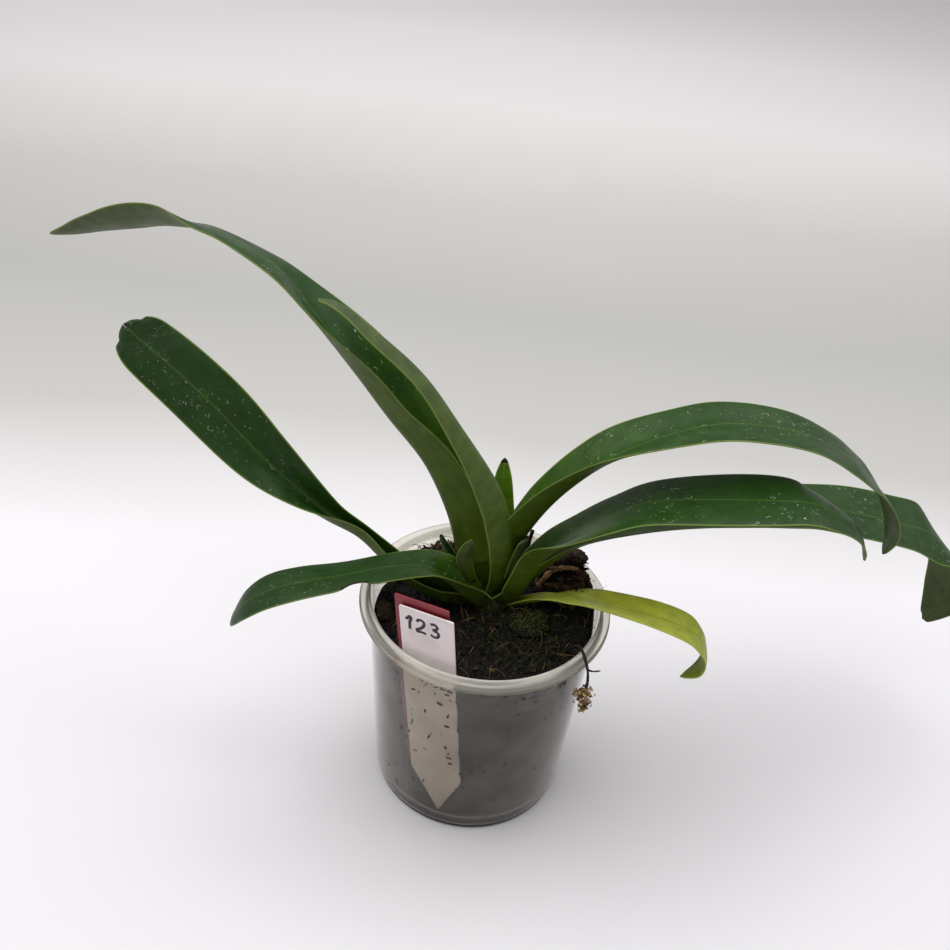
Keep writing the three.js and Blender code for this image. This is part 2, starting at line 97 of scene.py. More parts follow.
def new_material(name: str) -> tuple[bpy.types.Material, bpy.types.NodeTree]:
    """Makes an empty node material and returns it with its tree."""
    material = bpy.data.materials.new(name)
    material.use_nodes = True
    material.node_tree.nodes.clear()
    return material, material.node_tree


def finish_surface(tree: bpy.types.NodeTree, inputs: dict) -> None:
    """Ends a tree in a Principled surface with these inputs."""
    shader = add_node(tree, "BsdfPrincipled", inputs)
    add_node(tree, "OutputMaterial", {"Surface": shader.outputs[0]})


def new_piece(name: str, form: bmesh.types.BMesh,
              materials: Sequence[bpy.types.Material]) -> bpy.types.Object:
    """Turns a bmesh into a smooth-shaded object that rides on the pot.

    Args:
        name: the piece's name.
        form: its shape, in metres, which is freed.
        materials: what its material slots hold.

    Returns:
        The object.
    """
    for face in form.faces:
        face.smooth = True
    mesh = bpy.data.meshes.new(name)
    form.to_mesh(mesh)
    form.free()
    for material in materials:
        mesh.materials.append(material)
    piece = bpy.data.objects.new(name, mesh)
    bpy.context.scene.collection.objects.link(piece)
    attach(piece, ROOT)
    LOG.info("%s: %d faces", name, len(mesh.polygons))
    return piece


def absorb(form: bmesh.types.BMesh, bit: bmesh.types.BMesh, place: Matrix, tone: float) -> None:
    """Copies a small shape into a big one, with a tone of its own in the layer "tone"."""
    layer = form.verts.layers.float["tone"]
    copies = {}
    for vert in bit.verts:
        copies[vert] = form.verts.new(place @ vert.co)
        copies[vert][layer] = tone
    for face in bit.faces:
        form.faces.new([copies[v] for v in face.verts]).material_index = face.material_index


def toned_form() -> bmesh.types.BMesh:
    """An empty shape with the layer that absorb fills."""
    form = bmesh.new()
    form.verts.layers.float.new("tone")
    return form


def spun(profile: Sequence[Row], steps: int) -> bmesh.types.BMesh:
    """A closed body of revolution about Z.

    Args:
        profile: points (radius, height) in millimetres, from the axis back to the axis.
        steps: how many sides it has.

    Returns:
        The body, in metres, its faces outwards.
    """
    form = bmesh.new()
    corners = [form.verts.new((r * MM, 0, z * MM)) for r, z in profile]
    edges = [form.edges.new(pair) for pair in zip(corners, corners[1:])]
    bmesh.ops.spin(form, geom=corners + edges, axis=(0, 0, 1), angle=math.tau, steps=steps, use_merge=True)
    bmesh.ops.remove_doubles(form, verts=form.verts, dist=0.005 * MM)
    bmesh.ops.recalc_face_normals(form, faces=form.faces)
    return form


def filleted(profile: Sequence[Row], radius: float, steps: int = 3) -> list[Row]:
    """Rounds the inner corners of a profile.

    Args:
        profile: points (radius, height); the first and the last stay.
        radius: how far from each corner the rounding starts, at most.
        steps: how many pieces each rounding has.

    Returns:
        The rounded profile.
    """
    points = [Vector(p) for p in profile]
    rounded = [points[0]]
    for before, corner, after in zip(points, points[1:], points[2:]):
        reach = min(radius, 0.45 * (before - corner).length, 0.45 * (after - corner).length)
        start = corner + (before - corner).normalized() * reach
        end = corner + (after - corner).normalized() * reach
        for i in range(steps + 1):
            t = i / steps
            rounded.append(start * (1 - t) ** 2 + corner * 2 * t * (1 - t) + end * t**2)
    return [tuple(p) for p in rounded + [points[-1]]]


def catmull(points: Sequence[Row], share: float) -> list[float]:
    """A point on the smooth curve through points, at a share of its whole from 0 to 1."""
    last = len(points) - 1
    place = min(max(share, 0.0), 1.0) * last
    i = min(int(place), last - 1)
    t = place - i
    p1, p2 = points[i], points[i + 1]
    p0 = points[i - 1] if i > 0 else [2 * a - b for a, b in zip(p1, p2)]
    p3 = points[i + 2] if i + 2 <= last else [2 * b - a for a, b in zip(p1, p2)]
    result = []
    for a, b, c, d in zip(p0, p1, p2, p3):
        slope, next_slope = (c - a) / 2, (d - b) / 2
        result.append(
            b + slope * t
            + (3 * (c - b) - 2 * slope - next_slope) * t**2
            + (2 * (b - c) + slope + next_slope) * t**3
        )
    return result


def smoothstep(low: float, high: float, value: float) -> float:
    """0 below low, 1 above high, and smooth between them."""
    t = min(max((value - low) / (high - low), 0.0), 1.0)
    return t * t * (3 - 2 * t)


# Finishes


@dataclass(frozen=True)
class LeafTissue:
    """One face of a living leaf: green tissue under a thin wax that gives a soft, greyish gloss.

    Its colour runs from the crown to the tip, it has a paler midrib and a paler margin, the margin's
    paleness a painted glow for light shining through the thin edge, veins along the blade about a
    millimetre apart, and here and there the pale rings that dried drops leave. Spacings and widths are in
    millimetres, and each pattern's scale is how many of its patches fit on 100 mm of leaf, which is
    RULE, the unit of the UV map "rule".
    """

    name: str
    base: str
    low: str
    middle: str
    end: str
    midrib: str
    # margin is a paler colour along the edge, a painted glow of light through the thin tissue.
    margin: str
    scar: str = "#1c120a"
    marks: float = 0.0
    roughness: float = 0.36
    gloss: float = 0.28
    vein_spacing: float = 1.1
    midrib_width: float = 0.5
    glow_margin_width: float = 0.55
    clouds: float = 9.0
    patches: float = 24.0
    frays: float = 90.0
    drops: float = 40.0
    breaks: float = 55.0
    specks: float = 70.0
    regions: float = 5.0
    pores: float = 60.0

    def material(self) -> bpy.types.Material:
        """Builds the node material."""
        material, tree = new_material(self.name)
        blade = add_node(tree, "UVMap", uv_map="blade").outputs[0]
        rule = add_node(tree, "UVMap", uv_map="rule").outputs[0]
        along = add_node(tree, "SeparateXYZ", {0: blade}).outputs[1]
        across = add_node(tree, "SeparateXYZ", {0: rule}).outputs[0]
        cloud = add_node(
            tree, "TexNoise", {"Vector": rule, "Scale": self.clouds, "Detail": 3.0}).outputs["Fac"]
        shifted = add_node(tree, "MapRange", {0: cloud, 1: 0.3, 2: 0.7, 3: -0.07, 4: 0.07}).outputs[0]
        place = add_node(tree, "Math", {0: along, 1: shifted}, operation="ADD").outputs[0]
        run = [(0.0, self.base), (0.16, self.low), (0.42, self.middle), (0.95, self.end)]
        green = add_node(tree, "ValToRGB", {0: place}, ramp=run).outputs[0]
        green = self.mottled(tree, green, rule)
        green = self.lined(tree, green, across)
        green, pale = self.marked(tree, green, rule)
        scar = add_node(tree, "Attribute", attribute_name="scar").outputs["Fac"]
        ragged = add_node(
            tree, "TexNoise", {"Vector": rule, "Scale": self.frays, "Detail": 2.0}).outputs["Fac"]
        burnt = add_node(tree, "Math", {0: scar, 1: ragged}, operation="MULTIPLY").outputs[0]
        burnt = add_node(tree, "MapRange", {0: burnt, 1: 0.22, 2: 0.34}).outputs[0]
        green = add_node(
            tree, "Mix", {0: burnt, 6: green, 7: linear(self.scar)}, data_type="RGBA").outputs[2]
        gloss = add_node(tree, "MapRange", {0: cloud, 1: 0.3, 2: 0.7, 3: self.roughness - 0.06,
                                            4: self.roughness + 0.08}).outputs[0]
        gloss = add_node(tree, "Math", {0: pale, 1: 0.25, 2: gloss}, operation="MULTIPLY_ADD").outputs[0]
        finish_surface(tree, {
            "Base Color": green, "Roughness": gloss, "IOR": 1.45, "Normal": self.relief(tree, rule, across),
            "Specular IOR Level": self.gloss})
        return material

    def mottled(self, tree: bpy.types.NodeTree, green: bpy.types.NodeSocket,
                rule: bpy.types.NodeSocket) -> bpy.types.NodeSocket:
        """Lightens and darkens the green in cloudy patches a few millimetres wide."""
        patches = add_node(
            tree, "TexNoise", {"Vector": rule, "Scale": self.patches, "Detail": 5.0}).outputs["Fac"]
        level = add_node(tree, "MapRange", {0: patches, 1: 0.3, 2: 0.7, 3: 0.8, 4: 1.22}).outputs[0]
        return add_node(tree, "HueSaturation", {"Value": level, "Color": green}).outputs[0]

    def lined(self, tree: bpy.types.NodeTree, green: bpy.types.NodeSocket,
              across: bpy.types.NodeSocket) -> bpy.types.NodeSocket:
        """Draws the midrib and the margin, the margin's paler colour a painted glow of light through the
        thin edge.
        """
        off = add_node(tree, "Math", {0: across}, operation="ABSOLUTE").outputs[0]
        rib = add_node(tree, "MapRange", {0: off, 1: 0.002, 2: self.midrib_width / RULE, 3: 0.55, 4: 0.0},
                       interpolation_type="SMOOTHSTEP").outputs[0]
        green = add_node(
            tree, "Mix", {0: rib, 6: green, 7: linear(self.midrib)}, data_type="RGBA").outputs[2]
        # The paler margin is a painted glow: light shining through the thin edge, painted into the colour.
        edge = add_node(tree, "Attribute", attribute_name="edge").outputs["Fac"]
        rim = add_node(tree, "MapRange", {0: edge, 1: 0.25, 2: self.glow_margin_width, 3: 0.9, 4: 0.0},
                       interpolation_type="SMOOTHSTEP").outputs[0]
        return add_node(
            tree, "Mix", {0: rim, 6: green, 7: linear(self.margin)}, data_type="RGBA").outputs[2]

    def marked(self, tree: bpy.types.NodeTree, green: bpy.types.NodeSocket, rule: bpy.types.NodeSocket,
               ) -> tuple[bpy.types.NodeSocket, bpy.types.NodeSocket]:
        """Adds the pale crescents and specks of dried drops, and returns the colour and where they are.

        Rings and specks are measured in shares of a drop's cell.
        """
        drops = add_node(tree, "TexVoronoi", {"Vector": rule, "Scale": self.drops})
        ring = drops.outputs["Distance"]
        off = add_node(tree, "Math", {0: ring, 1: 0.27}, operation="SUBTRACT").outputs[0]
        off = add_node(tree, "Math", {0: off}, operation="ABSOLUTE").outputs[0]
        mark = add_node(tree, "MapRange", {0: off, 1: 0.012, 2: 0.035, 3: 1.0, 4: 0.0}).outputs[0]
        broken = add_node(
            tree, "TexNoise", {"Vector": rule, "Scale": self.breaks, "Detail": 2.0}).outputs["Fac"]
        broken = add_node(tree, "MapRange", {0: broken, 1: 0.53, 2: 0.58}).outputs[0]
        chosen = add_node(tree, "SeparateColor", {0: drops.outputs["Color"]}).outputs[0]
        chosen = add_node(tree, "MapRange", {0: chosen, 1: 0.3, 2: 0.32}).outputs[0]
        dots = add_node(tree, "TexVoronoi", {"Vector": rule, "Scale": self.specks}).outputs["Distance"]
        dot = add_node(tree, "MapRange", {0: dots, 1: 0.07, 2: 0.13, 3: 1.0, 4: 0.0}).outputs[0]
        for mask in (broken, chosen):
            mark = add_node(tree, "Math", {0: mark, 1: mask}, operation="MULTIPLY").outputs[0]
        mark = add_node(tree, "Math", {0: mark, 1: dot}, operation="MAXIMUM").outputs[0]
        region = add_node(
            tree, "TexNoise", {"Vector": rule, "Scale": self.regions, "Detail": 3.0}).outputs["Fac"]
        low = 0.66 - 0.22 * self.marks
        region = add_node(tree, "MapRange", {0: region, 1: low, 2: low + 0.08, 4: self.marks}).outputs[0]
        pale = add_node(tree, "Math", {0: mark, 1: region}, operation="MULTIPLY").outputs[0]
        mixed = add_node(tree, "Mix", {0: pale, 6: green, 7: linear("#98a48c")}, data_type="RGBA")
        return mixed.outputs[2], pale

    def relief(self, tree: bpy.types.NodeTree, rule: bpy.types.NodeSocket,
               across: bpy.types.NodeSocket) -> bpy.types.NodeSocket:
        """The shallow relief of the veins and of the leathery surface."""
        turn = math.tau * RULE / self.vein_spacing
        veins = add_node(tree, "Math", {0: across, 1: turn}, operation="MULTIPLY").outputs[0]
        veins = add_node(tree, "Math", {0: veins}, operation="SINE").outputs[0]
        grain = add_node(
            tree, "TexNoise", {"Vector": rule, "Scale": self.pores, "Detail": 4.0}).outputs["Fac"]
        height = add_node(tree, "Math", {0: veins, 1: 0.12, 2: grain}, operation="MULTIPLY_ADD").outputs[0]
        return add_node(
            tree, "Bump", {"Strength": 0.14, "Distance": 0.3 * MM, "Height": height}).outputs[0]


@dataclass(frozen=True)
class MilkyPolypropylene:
    """Injection-moulded clear polypropylene: the thin wall is see-through, the thick rim looks milky.

    The solid plastic's index is 1.49. It is set lower here, and so is the specular level, because at 1.49
    the wall comes out lighter than the real one. Haze and mould rings have their sizes, and the
    rim its start and end above the floor, in millimetres.
    """

    name: str = "moulded_polypropylene"
    wall_clearness: float = 0.995
    mist: float = 0.0
    rim_clearness: float = 0.86
    rim_starts: float = 79.0
    rim_ends: float = 81.0
    roughness: float = 0.05
    rim_roughness: float = 0.28
    index: float = 1.3
    specular: float = 0.2
    haze_size: float = 16.67
    ring_size: tuple[float, float, float] = (83.33, 83.33, 2.381)

    def material(self) -> bpy.types.Material:
        """Builds the node material."""
        material, tree = new_material(self.name)
        place = add_node(tree, "TexCoord").outputs["Object"]
        fine = 1 / (self.haze_size * MM)
        haze = add_node(tree, "TexNoise", {"Vector": place, "Scale": fine, "Detail": 5.0}).outputs["Fac"]
        tint = add_node(tree, "ValToRGB", {0: haze}, ramp=[(0.3, "#dcd8cc"), (0.7, "#f2efe4")]).outputs[0]
        level = add_node(tree, "SeparateXYZ", {0: place}).outputs[2]
        rim = add_node(tree, "MapRange", {
            0: level, 1: self.rim_starts * MM, 2: self.rim_ends * MM}).outputs[0]
        misty = self.wall_clearness - self.mist
        cloud = add_node(tree, "MapRange", {
            0: haze, 1: 0.35, 2: 0.65, 3: self.wall_clearness, 4: misty}).outputs[0]
        clear = add_node(tree, "Mix", {0: rim, 2: cloud, 3: self.rim_clearness}).outputs[0]
        gloss = add_node(tree, "Mix", {0: rim, 2: self.roughness, 3: self.rim_roughness}).outputs[0]
        stretch = [1 / (size * MM) for size in self.ring_size]
        rings = add_node(tree, "Mapping", {"Vector": place, "Scale": stretch}).outputs[0]
        wave = add_node(tree, "TexNoise", {"Vector": rings, "Scale": 1.0, "Detail": 3.0}).outputs["Fac"]
        bump = add_node(tree, "Bump", {"Strength": 0.06, "Distance": 0.2 * MM, "Height": wave}).outputs[0]
        finish_surface(tree, {
            "Base Color": tint, "Roughness": gloss, "IOR": self.index, "Transmission Weight": clear,
            "Specular IOR Level": self.specular, "Normal": bump})
        return material


@dataclass(frozen=True)
class LooseMatter:
    """Dry or damp plant matter, such as bark, fibre, moss or soil: rough, dull and broken in colour."""

    name: str
    dark: str
    middle: str
    light: str
    grain: float = 1.2
    roughness: float = 0.9
    relief: float = 0.5
    stretch: tuple[float, float, float] = (1.0, 1.0, 1.0)
    by_bit: bool = False

    def material(self) -> bpy.types.Material:
        """Builds the node material; by_bit gives each bit a tone of its own from its attribute."""
        material, tree = new_material(self.name)
        place = add_node(tree, "TexCoord").outputs["Object"]
        drawn = add_node(tree, "Mapping", {"Vector": place, "Scale": self.stretch}).outputs[0]
        scale = 1 / (self.grain * MM)
        grain = add_node(tree, "TexNoise", {
            "Vector": drawn, "Scale": scale, "Detail": 6.0, "Roughness": 0.65}).outputs["Fac"]
        tone = grain
        if self.by_bit:
            own = add_node(tree, "Attribute", attribute_name="tone").outputs["Fac"]
            tone = add_node(tree, "Math", {0: own, 1: 0.62, 2: -0.31}, operation="MULTIPLY_ADD").outputs[0]
            tone = add_node(tree, "Math", {0: tone, 1: grain}, operation="ADD").outputs[0]
        colours = [(0.34, self.dark), (0.52, self.middle), (0.72, self.light)]
        colour = add_node(tree, "ValToRGB", {0: tone}, ramp=colours).outputs[0]
        bump = add_node(
            tree, "Bump", {"Strength": self.relief, "Distance": 0.5 * MM, "Height": grain}).outputs[0]
        finish_surface(tree, {
            "Base Color": colour, "Roughness": self.roughness, "Specular IOR Level": 0.3, "Normal": bump})
        return material


@dataclass(frozen=True)
class SheetPolystyrene:
    """Die-cut polystyrene sheet of a plant label: opaque, satin, faintly scuffed and dusty.

    dust_size is the width of a cloud of dust, in millimetres.
    """

    name: str
    colour: str
    worn: str
    roughness: float = 0.42
    dust_size: float = 7.143

    def material(self) -> bpy.types.Material:
        """Builds the node material."""
        material, tree = new_material(self.name)
        place = add_node(tree, "TexCoord").outputs["Object"]
        fine = 1 / (self.dust_size * MM)
        dust = add_node(tree, "TexNoise", {"Vector": place, "Scale": fine, "Detail": 6.0}).outputs["Fac"]
        colours = [(0.45, self.colour), (0.8, self.worn)]
        colour = add_node(tree, "ValToRGB", {0: dust}, ramp=colours).outputs[0]
        gloss = add_node(tree, "MapRange", {0: dust, 1: 0.3, 2: 0.7, 3: self.roughness - 0.08,
                                            4: self.roughness + 0.12}).outputs[0]
        bump = add_node(tree, "Bump", {"Strength": 0.05, "Distance": 0.1 * MM, "Height": dust}).outputs[0]
        finish_surface(tree, {"Base Color": colour, "Roughness": gloss, "IOR": 1.55, "Normal": bump})
        return material


@dataclass(frozen=True)
class MarkerInk:
    """Solvent marker ink: blue-black and dull, in pools of uneven depth a millimetre or two wide."""

    name: str = "marker_ink"
    pool_size: float = 1.667

    def material(self) -> bpy.types.Material:
        """Builds the node material."""
        material, tree = new_material(self.name)
        place = add_node(tree, "TexCoord").outputs["Object"]
        fine = 1 / (self.pool_size * MM)
        pool = add_node(tree, "TexNoise", {"Vector": place, "Scale": fine}).outputs["Fac"]
        tones = [(0.35, "#120f1c"), (0.75, "#2b2638")]
        colour = add_node(tree, "ValToRGB", {0: pool}, ramp=tones).outputs[0]
        finish_surface(tree, {"Base Color": colour, "Roughness": 0.5})
        return material


@dataclass(frozen=True)
class PaleSheet:
    """Matte white sheet that the pot stands on, with a greyer stretch behind the pot that is painted shade
    where the light falls off.

    Its tones stand at shares of its reach, a length along the floor in metres, from the middle of the pot.
    """

    name: str = "pale_sheet_painted_shade"
    reach: float = 1.6
    cloud_size: float = 0.3333
    # The grey dip in these tones behind the pot is painted shade where the light falls off; further out the
    # sheet is its own white.
    tones: tuple[tuple[float, str], ...] = (
        (0.1, "#dad8da"), (0.17, "#b4b3ae"), (0.26, "#a9a9a4"), (0.38, "#bfbcb8"), (0.55, "#ebe8e6"),
        (0.72, "#faf7f6"))

    def material(self) -> bpy.types.Material:
        """Builds the node material."""
        material, tree = new_material(self.name)
        place = add_node(tree, "TexCoord").outputs["Object"]
        away = add_node(tree, "SeparateXYZ", {0: place}).outputs[1]
        wide = 1 / self.cloud_size
        cloud = add_node(tree, "TexNoise", {"Vector": place, "Scale": wide, "Detail": 3.0}).outputs["Fac"]
        place_on = add_node(tree, "Math", {0: cloud, 1: 0.08, 2: away}, operation="MULTIPLY_ADD").outputs[0]
        share = add_node(tree, "MapRange", {0: place_on, 1: 0.0, 2: self.reach}).outputs[0]
        colour = add_node(tree, "ValToRGB", {0: share}, ramp=self.tones).outputs[0]
        finish_surface(tree, {"Base Color": colour, "Roughness": 0.55})
        return material


# Leaves


class Green(Enum):
    """Which greens a leaf has."""

    GROWN = "grown"
    YOUNG = "young"
    FRESH = "fresh"


# The upper face is deep green with a soft sheen, the young leaf's yellow-green.
UPPER = {
    Green.GROWN: LeafTissue(
        "leaf_upper_face", base="#3c4c05", low="#345206", middle="#1f3d0e", end="#22381a",
        midrib="#40591f", margin="#62752f", marks=0.85, gloss=0.2),
    Green.YOUNG: LeafTissue(
        "young_leaf_upper_face", base="#465408", low="#a2ac30", middle="#b2ba3e", end="#949e30",
        midrib="#7c8a22", margin="#b4be5c", marks=0.1),
    Green.FRESH: LeafTissue(
        "fresh_leaf_face", base="#93b324", low="#8cb01c", middle="#7ba524", end="#4a7618",
        midrib="#7c9a30", margin="#8ea044"),
}
# The under face is duller and greyer than the upper.
UNDER = {
    Green.GROWN: LeafTissue(
        "leaf_under_face", base="#222c04", low="#3e520a", middle="#4a5a2c", end="#434f32",
        midrib="#4c5c30", margin="#6c8038", marks=0.25, roughness=0.5, gloss=0.16),
    Green.YOUNG: LeafTissue(
        "young_leaf_under_face", base="#465408", low="#6c7c14", middle="#8a982a", end="#74822a",
        midrib="#7a8a34", margin="#a8b450", roughness=0.5, gloss=0.16),
    Green.FRESH: LeafTissue(
        "fresh_leaf_under_face", base="#5c7a10", low="#567a14", middle="#4a701c", end="#2c4c12",
        midrib="#4a661c", margin="#7d9038", roughness=0.5, gloss=0.16),
}
# The blade's edge faces are painted paler: a painted glow for the light that shines through the thin
# margin.
PAINTED_GLOW_RIM = {
    Green.GROWN: LeafTissue(
        "leaf_margin", base="#33400a", low="#465616", middle="#5c6e2c", end="#586a2a",
        midrib="#5c6e2c", margin="#5c6e2c", gloss=0.2),
    Green.YOUNG: LeafTissue(
        "young_leaf_margin", base="#5c6a16", low="#7d8c2c", middle="#98a440", end="#8c983a",
        midrib="#98a440", margin="#98a440", gloss=0.2),
    Green.FRESH: LeafTissue(
        "fresh_leaf_margin", base="#5a6c14", low="#5a6c14", middle="#5a6c14", end="#3a4c10",
        midrib="#5a6c14", margin="#6c8038", gloss=0.2),
}


@dataclass(frozen=True)
class Nick:
    """A bite out of a margin: where it is along the blade, on which side, how deep and how long in mm."""

    along: float
    side: int
    depth: float
    length: float


@dataclass(frozen=True)
class Leaf:
    """A strap leaf.

    Its stations run from base to tip. Each has x, y and z of the keel and the half width, in
    millimetres, then the roll and the fold of the blade, in degrees. heading is the direction in
    which it grows, from +X. notch, ripple and ragged are the depths of the split at the tip, of the
    waves, one each sway_length or so, and of the tears at the tip; keel_share is how much of the half
    width the keel's bend takes up, and margin_share how thick the margin is beside the middle.
    """

    node: str
    heading: float
    stations: tuple[Row, ...]
    notch: float = 0.0
    nicks: tuple[Nick, ...] = ()
    scarred_tip: float = 2.0
    green: Green = Green.GROWN
    slot: str = "leaf"
    keel_share: float = 0.35
    columns: int = 14
    rows_per_span: int = 6
    thickness: float = 1.1
    margin_share: float = 0.42
    ripple: float = 0.3
    sway_length: float = 14
    ragged: float = 0.9

    @property
    def rows(self) -> int:
        """How many rows of faces the blade has along it."""
        return (len(self.stations) - 1) * self.rows_per_span

    def length(self) -> float:
        """Length along the keel, in millimetres."""
        points = [Vector(catmull(self.stations, i / self.rows)[:3]) for i in range(self.rows + 1)]
        return sum((b - a).length for a, b in zip(points, points[1:]))

    def half_width(self, along: float, side: float, length: float) -> float:
        """Half width in millimetres at a place along the blade, its tip rounded and its nicks taken out."""
        width = max(catmull(self.stations, along)[3], 0.7)
        close = max(0.0, (along - 1) * length / 1.6 + 1)
        width *= math.sqrt(max(0.0, 1 - close**2)) * 0.97 + 0.03
        for nick in self.nicks:
            if nick.side * side > 0:
                off = abs(along - nick.along) * length / nick.length
                width -= nick.depth * (1 - smoothstep(0.35, 0.55, off))
        return width

    def section(self, share: float, width: float, fold: float) -> tuple[float, float]:
        """Where a share of the half width lies: across and up from the keel, in millimetres."""
        reach = abs(share)
        bent = min(reach, self.keel_share)
        rest = (reach - bent) * width
        if abs(fold) < 1e-3:
            return share * width, 0.0
        radius = self.keel_share * width / fold
        angle = fold * bent / self.keel_share
        across = radius * math.sin(angle) + rest * math.cos(fold)
        return math.copysign(across, share), radius * (1 - math.cos(angle)) + rest * math.sin(fold)

    def axes(self, along: float) -> tuple[Vector, Vector, Vector, Vector]:
        """The keel's point, the way ahead, and the blade's side and upper direction there."""
        centre = Vector(catmull(self.stations, along)[:3])
        behind, before = (Vector(catmull(self.stations, along + step)[:3]) for step in (-1e-3, 1e-3))
        ahead = (before - behind).normalized()
        turn = math.radians(self.heading)
        flat = Vector((math.sin(turn), -math.cos(turn), 0))
        side = (flat - ahead * flat.dot(ahead)).normalized()
        upper = side.cross(ahead)
        roll = math.radians(catmull(self.stations, along)[4])
        return (centre, ahead, side * math.cos(roll) + upper * math.sin(roll),
                upper * math.cos(roll) - side * math.sin(roll))

    def build(self) -> bpy.types.Object:
        """Models the blade: a grid bent along the keel, with wall thickness and smooth faces."""
        form = bmesh.new()
        form.loops.layers.uv.new("blade")
        form.verts.layers.float.new("edge")
        form.verts.layers.float.new("scar")
        bmesh.ops.create_grid(form, x_segments=self.columns, y_segments=self.rows, size=1, calc_uvs=True)
        form.loops.layers.uv.new("rule")
        self.bend(form)
        piece = new_piece(self.node + "_blade", form, [
            UPPER[self.green].material(), UNDER[self.green].material(), PAINTED_GLOW_RIM[self.green].material()])
        self.thicken(piece)
        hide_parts(self.node)
        return piece

    def bend(self, form: bmesh.types.BMesh) -> None:
        """Bends the flat grid along the keel and writes the rule, the edge and the scar of each corner."""
        rule = form.loops.layers.uv["rule"]
        edge_layer = form.verts.layers.float["edge"]
        scar_layer = form.verts.layers.float["scar"]
        length = self.length()
        axes = [self.axes(i / self.rows) for i in range(self.rows + 1)]
        own = sum(map(ord, self.node)) % 97
        seed = Vector((own, 0, 0))
        for vert in form.verts:
            share = vert.co.x
            row = round((vert.co.y + 1) / 2 * self.rows)
            along = row / self.rows
            centre, ahead, side, upper = axes[row]
            width = self.half_width(along, share, length)
            fold = math.radians(catmull(self.stations, along)[5])
            across, up = self.section(share, width, fold)
            lobe = self.notch * along**12 * math.sin(math.pi * min(1.0, 1.4 * abs(share)))
            sway = noise.noise(seed + Vector((share, along * length / self.sway_length, 0)))
            up += self.ripple * sway * (0.4 + abs(share) ** 2) * smoothstep(0, 0.3, along)
            for loop in vert.link_loops:
                loop[rule].uv = (share * width / RULE, along * length / RULE + own)
            vert[edge_layer] = (1 - abs(share)) * width
            vert[scar_layer] = self.scar(share, along, length)
            torn = self.ragged * noise.noise(seed + Vector((share * 4, 0, 5))) * smoothstep(0.96, 1, along)
            vert.co = (centre + side * across + upper * up + ahead * (lobe + torn)) * MM

    def thicken(self, piece: bpy.types.Object) -> None:
        """Gives the bent blade its wall, thinner at the margin, and smooths it."""
        body = piece.vertex_groups.new(name="body")
        for place, item in zip(piece.data.vertices, piece.data.attributes["edge"].data):
            body.add([place.index], smoothstep(0, 4, item.value), "REPLACE")
        wall = piece.modifiers.new("thickness", "SOLIDIFY")
        wall.thickness, wall.offset = self.thickness * MM, 0
        wall.vertex_group, wall.thickness_vertex_group = "body", self.margin_share
        wall.material_offset, wall.material_offset_rim = 1, 2
        soft = piece.modifiers.new("smooth", "SUBSURF")
        soft.levels = soft.render_levels = 1

    def scar(self, share: float, along: float, length: float) -> float:
        """How dead the tissue is, from 0 to 1: at the very tip and round each nick."""
        dead = 1 - smoothstep(0.3, 1.0, (1 - along) * length / max(self.scarred_tip, 0.1))
        for nick in self.nicks:
            if nick.side * share > 0:
                off = abs(along - nick.along) * length / nick.length
                dead = max(dead, (1 - smoothstep(0.5, 0.8, off)) * smoothstep(0.78, 0.95, abs(share)))
        return dead


